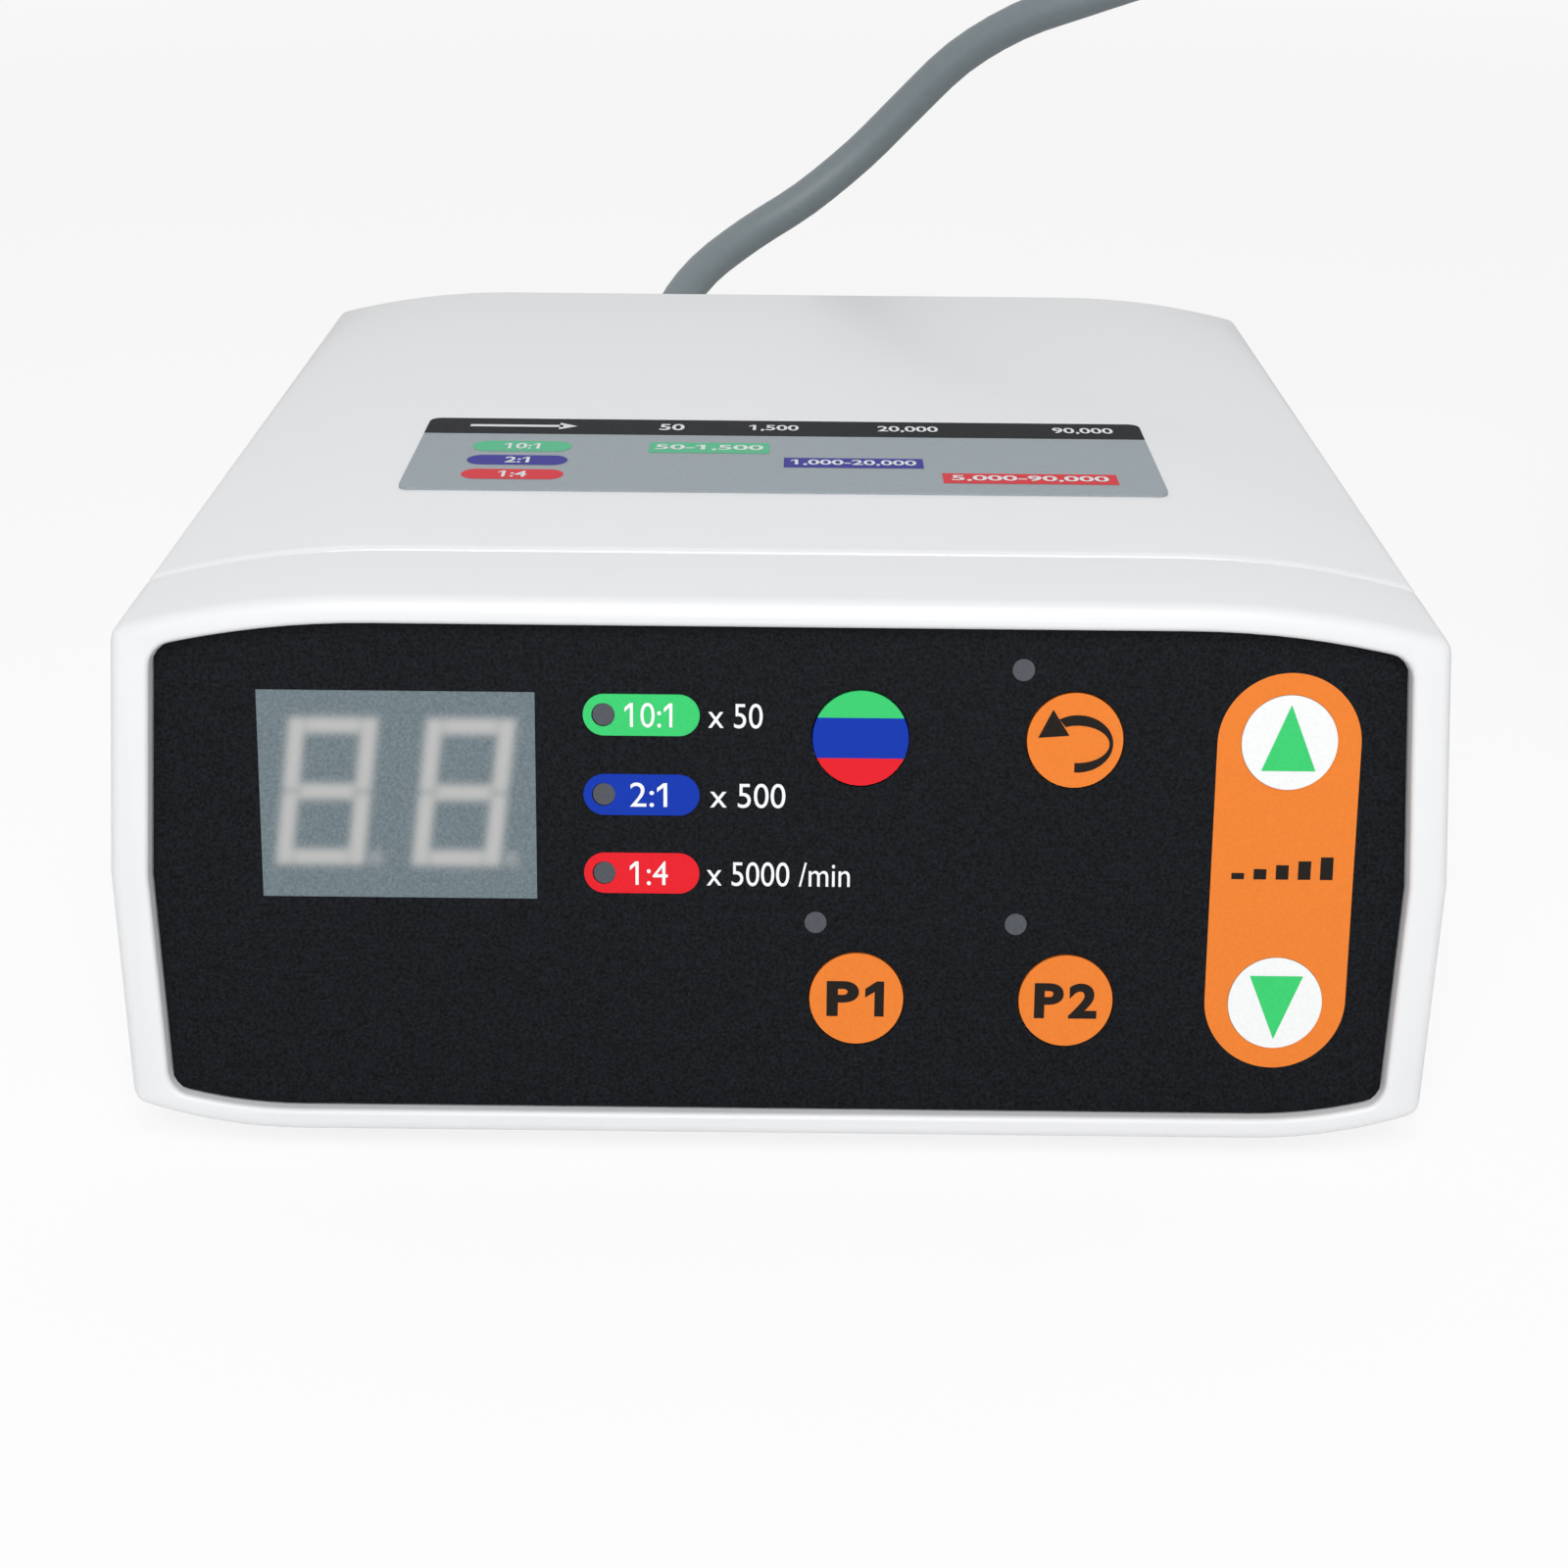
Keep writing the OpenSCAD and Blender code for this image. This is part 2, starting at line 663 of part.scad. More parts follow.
// Ribbon between the headers: a thin strip along a curve in the Y and Z plane
ribbon_w = 15;
ribbon_t = 0.9;
ribbon_steps = 12;
w_ribbon = w_board - board_t - header_h;
ribbon_from = [y_front + front_header_v * sin(face_lean) - w_ribbon * cos(face_lean),
    z_base + front_header_v * cos(face_lean) + w_ribbon * sin(face_lean)];
ribbon_to = [main_header_y, z_parts + header_h];
ribbon_pull = 9;
ribbon_out = [cos(face_lean), -sin(face_lean)];
function bezier(a, b, c, d, t) =
    pow(1 - t, 3) * a + 3 * t * pow(1 - t, 2) * b + 3 * t * t * (1 - t) * c + t * t * t * d;
function ribbon_at(t) =
    bezier(ribbon_from, ribbon_from + ribbon_pull * ribbon_out, ribbon_to + [0, ribbon_pull], ribbon_to, t);
function ribbon_dir(t) =
    t <= 0 ? ribbon_out
    : t >= 1 ? [0, -1]
    : let (d = ribbon_at(t + 0.01) - ribbon_at(t - 0.01)) d / norm(d);
function ribbon_edge(t, side) =
    ribbon_at(t) + side * ribbon_t / 2 * [-ribbon_dir(t)[1], ribbon_dir(t)[0]];
module ribbon_cable() {
    color("slategray") translate([header_x - ribbon_w / 2, 0, 0]) rotate([90, 0, 90])
        linear_extrude(ribbon_w) polygon(concat(
            [for (k = [0 : ribbon_steps]) ribbon_edge(k / ribbon_steps, 1)],
            [for (k = [ribbon_steps : -1 : 0]) ribbon_edge(k / ribbon_steps, -1)]));
}

// Main board and its parts
module main_board() {
    color("seagreen") difference() {
        block(-main_half, main_half, main_y[0], main_y[1], z_main, z_parts);
        main_hole_places() translate([0, 0, z_main - over])
            cylinder(r = board_screw_r + hole_gap, h = board_t + 2 * over);
    }
}
module main_board_screws() {
    color("silver") main_hole_places() translate([0, 0, z_parts]) {
        cylinder(r = 2.4, h = 1.8);
        translate([0, 0, -board_t - 4.5]) cylinder(r = board_screw_r, h = board_t + 4.5 + over / 2);
    }
}
sink_x = 18;
sink_w = 46;
sink_base = 3;
sink_h = 22;
fin_count = 9;
fin_t = 1.6;
fin_l = 9;
sink_y = main_y[0] + 26;
module heat_sink() {
    color("gray") translate([sink_x - sink_w / 2, sink_y, z_parts]) linear_extrude(sink_h) {
        translate([0, -sink_base]) square([sink_w, sink_base]);
        for (k = [0 : fin_count - 1])
            translate([k * (sink_w - fin_t) / (fin_count - 1), -sink_base - fin_l])
                square([fin_t, fin_l + sink_base / 2]);
    }
}
transistor_count = 3;
transistor_w = 10;
transistor_lift = 5;
module power_transistors() {
    color([0.15, 0.15, 0.15]) for (k = [0 : transistor_count - 1])
        translate([sink_x + (k - (transistor_count - 1) / 2) * 14, sink_y, z_parts]) {
            block(-transistor_w / 2, transistor_w / 2, 0, 4.4, transistor_lift, transistor_lift + 9);
            block(-transistor_w / 2, transistor_w / 2, 0, 1.3, transistor_lift + 9, transistor_lift + 15);
            for (x = [-2.54, 0, 2.54]) block(x - 0.4, x + 0.4, 2, 2.6, 0, transistor_lift + over / 2);
        }
}
cap_r = 5;
cap_h = 16;
cap_x = -30;
module filter_capacitors() {
    color("midnightblue") for (k = [0 : 2])
        translate([cap_x, main_y[0] + 12 + k * 12, z_parts]) cylinder(r = cap_r, h = cap_h);
}
chip_w = 30;
chip_d = 7.6;
module control_chip() {
    color([0.12, 0.12, 0.12]) translate([sink_x, sink_y + 16, z_parts]) {
        block(-chip_w / 2, chip_w / 2, -chip_d / 2, chip_d / 2, 0.4, 4);
        for (k = [0 : 11], s = [-1, 1])
            translate([(k - 5.5) * 2.54, s * (chip_d / 2 + 0.3), 0])
                block(-0.3, 0.3, -0.35, 0.35, 0, 2.5);
    }
}
terminal_y = main_y[1] - 9;
terminal_h = 8;
module motor_terminal() {
    color("ivory") block(gland_x - 7, gland_x + 7, terminal_y - 4, terminal_y + 4,
        z_parts, z_parts + terminal_h);
}
leads_r = 1.6;
leads_y = y_panel - hose_in;
leads_end_z = z_parts + terminal_h;
leads_route = concat(
    [for (dy = [0, 2, 4]) [gland_x, leads_y - dy, fitting_z]],
    [[gland_x, terminal_y + 8, fitting_z], [gland_x, terminal_y + 4, fitting_z - 0.4]],
    [[gland_x, terminal_y + 1.1, fitting_z - 1.9]],
    [for (dz = [3, 1.5, 0]) [gland_x, terminal_y, leads_end_z + dz]]);
module motor_leads() {
    color("black") tube(smooth(leads_route, 2), leads_r, 8, [1, 0, 0]);
}

// Rear panel and its fittings
module at_rear(x) {
    translate([x, y_panel, fitting_z]) children();
}
module rear_panel() {
    inset = wall - panel_bite + run_gap;
    color("white") difference() {
        prism(inset, inset, y_panel_in, y_panel);
        at_rear(rocker_x) block(-housing_w / 2 - hole_gap, housing_w / 2 + hole_gap, -rear_t - over, over,
            -housing_h / 2 - hole_gap, housing_h / 2 + hole_gap);
        at_rear(jack_x) rod_y(jack_r + hole_gap, -rear_t - over, over);
        at_rear(pedal_x) rod_y(pedal_r + hole_gap, -rear_t - over, over);
        at_rear(gland_x) rod_y(gland_r + hole_gap, -rear_t - over, over);
    }
}
module switch_housing() {
    pocket_w = rocker_w + 2 * rocker_side;
    color([0.1, 0.1, 0.1]) at_rear(rocker_x) difference() {
        union() {
            block(-housing_w / 2 - 1.2, housing_w / 2 + 1.2, 0, 1.6,
                -housing_h / 2 - 1.2, housing_h / 2 + 1.2);
            block(-housing_w / 2, housing_w / 2, -14, over / 2, -housing_h / 2, housing_h / 2);
            for (z = [-5, 0, 5]) block(-2.4, 2.4, -20, -13, z - 0.4, z + 0.4);
        }
        block(-pocket_w / 2, pocket_w / 2, -7.5, 3, -pocket_h / 2, pocket_h / 2);
        translate([-housing_w / 2 - over, pivot_y, 0]) rotate([0, 90, 0])
            cylinder(r = pivot_r + run_gap, h = housing_w + 2 * over);
    }
}
module switch_rocker() {
    color([0.15, 0.15, 0.15]) at_rear(rocker_x) translate([0, pivot_y, 0]) rotate([-rocker_swing / 2, 0, 0]) {
        translate([-rocker_w / 2, 0, 0]) rotate([90, 0, 90]) linear_extrude(rocker_w)
            polygon([[3.6, 0], [5.2, 7.6], [2.4, 7.9], [-0.5, 2.6], [-0.5, -2.6], [2.4, -7.9], [5.2, -7.6]]);
        translate([-rocker_w / 2, 0, 0]) rotate([0, 90, 0]) cylinder(r = 2.4, h = rocker_w);
        translate([-housing_w / 2 + 0.3, 0, 0]) rotate([0, 90, 0]) cylinder(r = pivot_r, h = housing_w - 0.6);
    }
}
module power_jack() {
    color("black") at_rear(jack_x) {
        difference() {
            union() {
                rod_y(jack_r + 1.6, 0, 1.5);
                rod_y(jack_r, -jack_l, 1);
            }
            rod_y(jack_d / 2, -jack_l + 2, 2);
        }
        rod_y(1, -jack_l + 1, 0);
    }
}
module back_nut(r_hole, r_out) {
    translate([0, -rear_t, 0]) rotate([90, 0, 0]) difference() {
        cylinder(r = r_out, h = nut_t, $fn = 6);
        translate([0, 0, -over]) cylinder(r = r_hole, h = nut_t + 2 * over);
    }
}
module power_jack_nut() {
    color("silver") at_rear(jack_x) back_nut(jack_r + run_gap, jack_r + 2.6);
}
module pedal_socket() {
    color("black") at_rear(pedal_x) difference() {
        union() {
            rod_y(pedal_r + 1.6, 0, 2);
            rod_y(pedal_r, -pedal_depth, 1);
        }
        rod_y(pedal_d / 2, -pedal_depth + 2, 3);
    }
}
module pedal_socket_nut() {
    color("silver") at_rear(pedal_x) back_nut(pedal_r + run_gap, pedal_r + 2.6);
}
// Gland: flange, threaded body and tapered boot round the hose
gland_flange_t = 2;
boot_tip_r = hose_d / 2 + 1;
module cord_gland() {
    color("dimgray") at_rear(gland_x) rotate([-90, 0, 0]) rotate_extrude() polygon([
        [hose_d / 2 + hole_gap, -rear_t - nut_t - 1], [gland_r, -rear_t - nut_t - 1], [gland_r, 0],
        [gland_r + 2, 0], [gland_r + 2, gland_flange_t], [gland_r, gland_flange_t + 0.6],
        [boot_tip_r, gland_l], [hose_d / 2 + hole_gap, gland_l]]);
}
module gland_nut() {
    color("dimgray") at_rear(gland_x) back_nut(gland_r + run_gap, gland_r + 2.8);
}

// Hose: free arch, coil and lead, and the tie round the coil
hose_sides = 10;
coil_sides = 6;
module hose_run() {
    color("gray") tube(smooth(run_route, 2), hose_d / 2, hose_sides);
}
module hose_coil() {
    color("gray") tube(coil_route, hose_d / 2, coil_sides);
}
module hose_lead() {
    color("gray") tube(smooth(lead_route, 2), hose_d / 2, hose_sides);
}
tie_angle = 225;
tie_w = 8;
tie_side_gap = 0.9;
tie_top_gap = 0.4;
tied_turns = [for (s = [tie_angle - coil_from : 360 : coil_turn]) coil_r(s)];
tie_in = min(tied_turns) - hose_d / 2 - tie_side_gap;
tie_out = max(tied_turns) + hose_d / 2 + tie_side_gap;
tie_h = coil_top_z + hose_d / 2 + tie_top_gap;
module coil_tie() {
    color("black") translate([coil_x, coil_y, 0]) rotate([0, 0, 90 - tie_angle])
        translate([0, tie_w / 2, 0]) rotate([90, 0, 0]) linear_extrude(tie_w) difference() {
            translate([tie_in - tie_t, 0]) square([tie_out - tie_in + 2 * tie_t, tie_h + tie_t]);
            translate([tie_in, tie_t]) square([tie_out - tie_in, tie_h - tie_t]);
        }
}

// Motor handpiece on the hose
module motor_boot() {
    color("dimgray") on_motor() rotate_extrude() polygon([
        [hose_d / 2 + hole_gap, 0], [boot_tip_r + 0.6, 0], [6, boot_l - 3], [6, boot_l + 4],
        [0, boot_l + 4], [0, hose_seat + hole_gap], [hose_d / 2 + hole_gap, hose_seat + hole_gap]]);
}
module motor_tail_nut() {
    color("silver") on_motor() difference() {
        union() {
            hollow_rod(motor_d / 2 - 1, 6 + run_gap, boot_l, sleeve_z);
            hollow_rod(inner_r - run_gap, 6 + run_gap, sleeve_z - over / 2, bearing_z[0]);
            hollow_rod(inner_r - run_gap, bearing_r + run_gap,
                bearing_z[0] - over / 2, bearing_z[0] + bearing_l);
        }
        for (k = [0 : 11]) rotate([0, 0, 30 * k]) translate([motor_d / 2 - 1, 0, boot_l + 1.5])
            cylinder(r = 0.7, h = nut_l - 3);
    }
}
module motor_sleeve() {
    color("silver") on_motor() hollow_rod(motor_d / 2, inner_r, sleeve_z, nose_z);
}
module motor_stator() {
    color("peru") on_motor() hollow_rod(inner_r - run_gap, magnet_r + air_gap, magnet_z[0], magnet_z[1]);
}
module motor_bearings() {
    color("lightsteelblue") on_motor() for (z = bearing_z)
        hollow_rod(bearing_r, shaft_d / 2 + run_gap, z, z + bearing_l);
}
module motor_nose() {
    color("silver") on_motor() difference() {
        union() {
            hollow_rod(inner_r - run_gap, bearing_r + run_gap, bearing_z[1], nose_z + over / 2);
            translate([0, 0, nose_z]) cylinder(r = collar_d / 2, h = collar_l);
            translate([0, 0, nose_z]) cylinder(r = spigot_d / 2, h = collar_l + spigot_l);
        }
        translate([0, 0, nose_z - over]) cylinder(r = shaft_d / 2 + 0.6, h = tip_z - nose_z + 2 * over);
        translate([0, 0, tip_z - mouth_l]) cylinder(r = mouth_r, h = mouth_l + over);
        for (z = seal_places) translate([0, 0, z]) rotate_extrude()
            translate([spigot_d / 2, 0]) circle(r = seal_r);
    }
}
module nose_seals() {
    color("black") on_motor() for (z = seal_places) translate([0, 0, z]) rotate_extrude()
        translate([spigot_d / 2, 0]) circle(r = seal_r - run_gap);
}
module rotor_shaft() {
    color("lightgray") on_motor() translate([0, 0, bearing_z[0] + run_gap])
        cylinder(r = shaft_d / 2, h = tip_z - mouth_l + 2 - bearing_z[0]);
}
module rotor_magnet() {
    color([0.3, 0.3, 0.33]) on_motor()
        hollow_rod(magnet_r, shaft_d / 2, magnet_z[0] + 1, magnet_z[1] - 1);
}
// Drive dog: a cup on the shaft's end with a slot across its rim
dog_z = tip_z - mouth_l + 1;
module drive_dog() {
    color("gold") on_motor() difference() {
        translate([0, 0, dog_z]) cylinder(r = dog_r, h = dog_l);
        translate([0, 0, dog_z - over]) cylinder(r = shaft_d / 2, h = 2 + over + run_gap);
        translate([-dog_r - over, -0.8, dog_z + dog_l - 3]) cube([2 * dog_r + 2 * over, 1.6, 3 + over]);
        translate([0, 0, dog_z + 3]) cylinder(r = 1.2, h = dog_l);
    }
}

front_bezel();
upper_case();
lower_case();
rear_panel();
rubber_feet();
case_screws();
keypad_overlay();
display_window();
indicator_lenses();
range_label();
key_range();
key_reverse();
key_memory_1();
key_memory_2();
key_speed_up();
key_speed_down();
plunger_range();
plunger_reverse();
plunger_memory_1();
plunger_memory_2();
plunger_speed_up();
plunger_speed_down();
switch_bodies();
front_board();
front_board_screws();
digit_display();
indicator_leds();
board_headers();
ribbon_cable();
main_board();
main_board_screws();
heat_sink();
power_transistors();
filter_capacitors();
control_chip();
motor_terminal();
motor_leads();
switch_housing();
switch_rocker();
power_jack();
power_jack_nut();
pedal_socket();
pedal_socket_nut();
cord_gland();
gland_nut();
hose_run();
hose_coil();
hose_lead();
coil_tie();
motor_boot();
motor_tail_nut();
motor_sleeve();
motor_stator();
motor_bearings();
motor_nose();
nose_seals();
rotor_shaft();
rotor_magnet();
drive_dog();
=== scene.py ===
"""Looks of a dental micromotor: its control unit, hose and motor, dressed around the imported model."""
import json
import math

import bmesh
import bpy
from mathutils import Matrix, Vector


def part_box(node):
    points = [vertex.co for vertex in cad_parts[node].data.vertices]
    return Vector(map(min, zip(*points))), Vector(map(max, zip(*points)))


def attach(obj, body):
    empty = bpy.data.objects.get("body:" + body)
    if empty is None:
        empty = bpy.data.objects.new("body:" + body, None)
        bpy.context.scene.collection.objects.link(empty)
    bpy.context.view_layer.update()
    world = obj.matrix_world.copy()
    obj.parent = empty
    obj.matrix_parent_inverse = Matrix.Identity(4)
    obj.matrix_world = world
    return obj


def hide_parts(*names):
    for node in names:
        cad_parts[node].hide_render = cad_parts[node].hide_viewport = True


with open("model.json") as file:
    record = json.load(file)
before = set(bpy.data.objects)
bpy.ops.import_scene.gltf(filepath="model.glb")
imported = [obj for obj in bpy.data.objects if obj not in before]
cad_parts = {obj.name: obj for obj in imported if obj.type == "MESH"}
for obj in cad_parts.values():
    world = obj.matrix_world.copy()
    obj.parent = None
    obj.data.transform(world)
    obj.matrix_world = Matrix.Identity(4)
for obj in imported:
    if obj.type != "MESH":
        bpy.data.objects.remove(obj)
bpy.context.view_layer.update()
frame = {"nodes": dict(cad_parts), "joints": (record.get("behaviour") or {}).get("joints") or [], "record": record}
nodes = frame["nodes"]
MM = 0.001

# The leaning face: u to the right, v up along it, w outwards from its rim
press_axis = next(j["axis"] for j in frame["joints"] if j["name"] == "range_press")
FACE_N = -Vector(press_axis).normalized()
FACE_U = Vector((1, 0, 0))
FACE_V = FACE_N.cross(FACE_U)
bezel_low, bezel_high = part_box("front_bezel")
face_turn = Matrix((FACE_U, FACE_V, FACE_N)).transposed().to_4x4()
FACE = Matrix.Translation((0, bezel_low.y, bezel_low.z)) @ face_turn
FACE_INVERSE = FACE.inverted()


def span_in(inverse, node):
    """Lowest and highest corner of a CAD node, in the axes that an inverse matrix leads to."""
    local = [inverse @ v.co for v in nodes[node].data.vertices]
    low = Vector(min(p[i] for p in local) for i in range(3))
    high = Vector(max(p[i] for p in local) for i in range(3))
    return low, high


def face_span(node):
    """Lowest and highest corner of a CAD node in face coordinates."""
    return span_in(FACE_INVERSE, node)


def face_middle(node):
    low, high = face_span(node)
    return ((low + high) / 2).to_2d()


def add_object(name, data):
    made = bpy.data.objects.new(name, data)
    bpy.context.scene.collection.objects.link(made)
    return made


def mesh_from(bm, name):
    """Mesh with a bmesh's shape; the bmesh is used up."""
    mesh = bpy.data.meshes.new(name)
    bm.to_mesh(mesh)
    bm.free()
    return mesh


# Camera at the photograph's place
CAMERA_PLACE = Vector((1.0, -229.5, 127.6)) * MM
CAMERA_PITCH = math.radians(27.418)
CAMERA_YAW = math.radians(-0.175)
CAMERA_ROLL = math.radians(0.509)
CAMERA_LENS = 48.8
CAMERA_SENSOR = 36
CAMERA_NEAR = 10 * MM


def add_camera():
    data = bpy.data.cameras.new("camera")
    data.sensor_fit = "HORIZONTAL"
    data.sensor_width = CAMERA_SENSOR
    data.lens = CAMERA_LENS
    data.clip_start = CAMERA_NEAR
    camera = add_object("camera", data)
    turn = Matrix.Rotation(-CAMERA_YAW, 4, "Z") @ Matrix.Rotation(math.pi / 2 - CAMERA_PITCH, 4, "X")
    camera.matrix_world = Matrix.Translation(CAMERA_PLACE) @ turn @ Matrix.Rotation(CAMERA_ROLL, 4, "Z")
    bpy.context.scene.camera = camera


add_camera()

# Materials
COAT_ROUGHNESS = 0.12
GRAIN_DETAIL = 3
GRAIN_BAND = (0.3, 0.7)
POLISH_SPREAD = 0.12
BUMP_STRENGTH = 0.6


def srgb(red, green, blue):
    """Linear colour from the 0 to 255 values of a picture."""
    def linear(c):
        c /= 255
        return c / 12.92 if c <= 0.04045 else ((c + 0.055) / 1.055) ** 2.4
    return (linear(red), linear(green), linear(blue), 1)


def shaded(colour, factor):
    return tuple(min(1, c * factor) for c in colour[:3]) + (1,)


def surface(name, colour, roughness, grain=0.4, depth=0.01, tint=0.04, metallic=0, coat=0, gloss=0.5,
            stretch=(1, 1, 1)):
    """Material with a fine grain: its size and depth in millimetres, and how far it tints the colour."""
    made = bpy.data.materials.new(name)
    made.use_nodes = True
    tree = made.node_tree
    shader = tree.nodes["Principled BSDF"]
    shader.inputs["Metallic"].default_value = metallic
    shader.inputs["Coat Weight"].default_value = coat
    shader.inputs["Specular IOR Level"].default_value = gloss
    shader.inputs["Coat Roughness"].default_value = COAT_ROUGHNESS
    place = tree.nodes.new("ShaderNodeTexCoord")
    scale = tree.nodes.new("ShaderNodeMapping")
    scale.inputs["Scale"].default_value = [s / (grain * MM) for s in stretch]
    noise = tree.nodes.new("ShaderNodeTexNoise")
    noise.inputs["Scale"].default_value = 1
    noise.inputs["Detail"].default_value = GRAIN_DETAIL
    tree.links.new(place.outputs["Object"], scale.inputs["Vector"])
    tree.links.new(scale.outputs["Vector"], noise.inputs["Vector"])
    colours = tree.nodes.new("ShaderNodeValToRGB")
    for stop, position, factor in zip(colours.color_ramp.elements, GRAIN_BAND, (1 - tint, 1 + tint)):
        stop.position = position
        stop.color = shaded(colour, factor)
    tree.links.new(noise.outputs["Fac"], colours.inputs["Fac"])
    tree.links.new(colours.outputs["Color"], shader.inputs["Base Color"])
    polish = tree.nodes.new("ShaderNodeMapRange")
    polish.inputs["To Min"].default_value = roughness * (1 - POLISH_SPREAD)
    polish.inputs["To Max"].default_value = min(1, roughness * (1 + POLISH_SPREAD))
    tree.links.new(noise.outputs["Fac"], polish.inputs["Value"])
    tree.links.new(polish.outputs["Result"], shader.inputs["Roughness"])
    bump = tree.nodes.new("ShaderNodeBump")
    bump.inputs["Strength"].default_value = BUMP_STRENGTH
    bump.inputs["Distance"].default_value = depth * MM
    tree.links.new(noise.outputs["Fac"], bump.inputs["Height"])
    tree.links.new(bump.outputs["Normal"], shader.inputs["Normal"])
    return made


def case_finish(name, roughness, coat):
    return surface(name, srgb(228, 229, 231), roughness, grain=6, depth=0.0015, tint=0.005, coat=coat)


def window_finish(name):
    return surface(name, srgb(107, 120, 126), 0.55, grain=0.28, depth=0.008, tint=0.2, gloss=0.1)


def panel_ink(name, colour, tint=0.04):
    return surface(name, colour, 0.6, grain=0.3, tint=tint, gloss=0.06)


def label_ink(name, colour, tint=0.04):
    return surface(name, colour, 0.5, grain=0.5, depth=0.004, tint=tint, gloss=0.06)


WHITE = (1, 1, 1, 1)
GREEN = srgb(62, 200, 112)
BLUE = srgb(22, 56, 168)
RED = srgb(224, 36, 46)
case_white = case_finish("case_white", roughness=0.34, coat=0.08)
case_polish = case_finish("case_polish", roughness=0.2, coat=0.8)
panel_black = surface("panel_black", srgb(17, 19, 23), 0.55, grain=0.3, depth=0.03, tint=0.9, gloss=0.08)
window_grey = window_finish("window_grey")
lens_grey = surface("lens_grey", srgb(76, 79, 85), 0.45, grain=0.3, tint=0.12, gloss=0.2)
print_orange = panel_ink("print_orange", srgb(230, 127, 52))
print_green = panel_ink("print_green", GREEN)
print_blue = panel_ink("print_blue", BLUE, tint=0.05)
print_red = panel_ink("print_red", RED)
print_white = panel_ink("print_white", srgb(236, 238, 238), tint=0.03)
print_black = panel_ink("print_black", srgb(34, 30, 28), tint=0.08)
label_grey = label_ink("label_grey", srgb(156, 165, 170))
label_dark = label_ink("label_dark", srgb(13, 15, 19), tint=0.08)
label_light = label_ink("label_light", srgb(222, 226, 228), tint=0.03)
label_green = label_ink("label_green", srgb(92, 186, 142))
label_blue = label_ink("label_blue", srgb(64, 60, 146), tint=0.05)
label_red = label_ink("label_red", srgb(212, 62, 70))
black_plastic = surface("black_plastic", srgb(34, 34, 36), 0.45, grain=0.5, depth=0.02, tint=0.1)
rubber_grey = surface("rubber_grey", srgb(92, 97, 99), 0.65, grain=0.4, depth=0.02, tint=0.07)
hose_grey = surface("hose_grey", srgb(118, 128, 132), 0.48, grain=1.5, depth=0.015, tint=0.03)
strap_black = surface("strap_black", srgb(40, 40, 42), 0.85, grain=0.5, depth=0.15, tint=0.3)
steel = surface("steel", srgb(168, 170, 174), 0.3, grain=0.4, depth=0.006, tint=0.05, metallic=1)
aluminium = surface("aluminium", srgb(174, 176, 180), 0.32, grain=0.25, depth=0.008, tint=0.05, metallic=1,
                    stretch=(1, 0.04, 1))
board_green = surface("board_green", srgb(28, 92, 56), 0.4, grain=1.5, tint=0.1)
clear_cast = surface("clear_cast", srgb(220, 224, 226), 0.15, grain=0.5, tint=0.02, coat=0.5)
ivory = surface("ivory", srgb(222, 214, 192), 0.5, grain=0.5, tint=0.04)
cable_grey = surface("cable_grey", srgb(140, 144, 150), 0.55, grain=0.5, tint=0.06)
capacitor_blue = surface("capacitor_blue", srgb(38, 44, 104), 0.35, grain=0.5, tint=0.05)
copper = surface("copper", srgb(190, 116, 70), 0.35, grain=0.2, depth=0.05, tint=0.15, metallic=1)
magnet_dark = surface("magnet_dark", srgb(84, 84, 88), 0.45, grain=0.3, tint=0.1, metallic=0.8)
brass = surface("brass", srgb(206, 172, 96), 0.28, grain=0.3, depth=0.006, tint=0.05, metallic=1)

FINISH_OF_SLOT = {
    "case_white": case_white, "panel_black": panel_black, "window_grey": window_grey,
    "lens_grey": lens_grey, "label_grey": label_grey, "key_blue": print_blue,
    "key_orange": print_orange, "key_white": print_white, "black_plastic": black_plastic,
    "rubber_grey": rubber_grey, "hose_grey": hose_grey, "steel": steel, "aluminium": aluminium,
    "board_green": board_green, "display_grey": label_grey, "led_clear": clear_cast,
    "ivory_plastic": ivory, "cable_grey": cable_grey, "lead_black": black_plastic,
    "capacitor_blue": capacitor_blue, "copper_winding": copper, "magnet_dark": magnet_dark,
    "seal_black": black_plastic, "dog_brass": brass,
}
slot_of_node = {s["node"]: s["material_slot"] for s in frame["record"]["subparts"]}
bodies = frame["record"]["behaviour"]["bodies"]
body_of_node = {n: body for body, members in bodies.items() for n in members}


def dress_nodes():
    for name, node in nodes.items():
        node.data.materials.clear()
        node.data.materials.append(FINISH_OF_SLOT[slot_of_node[name]])


dress_nodes()


def add_piece(name, mesh, materials, body):
    """New mesh object in the shared frame that rides on a body."""
    for finish in materials:
        mesh.materials.append(finish)
    piece = add_object(name, mesh)
    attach(piece, body)
    return piece


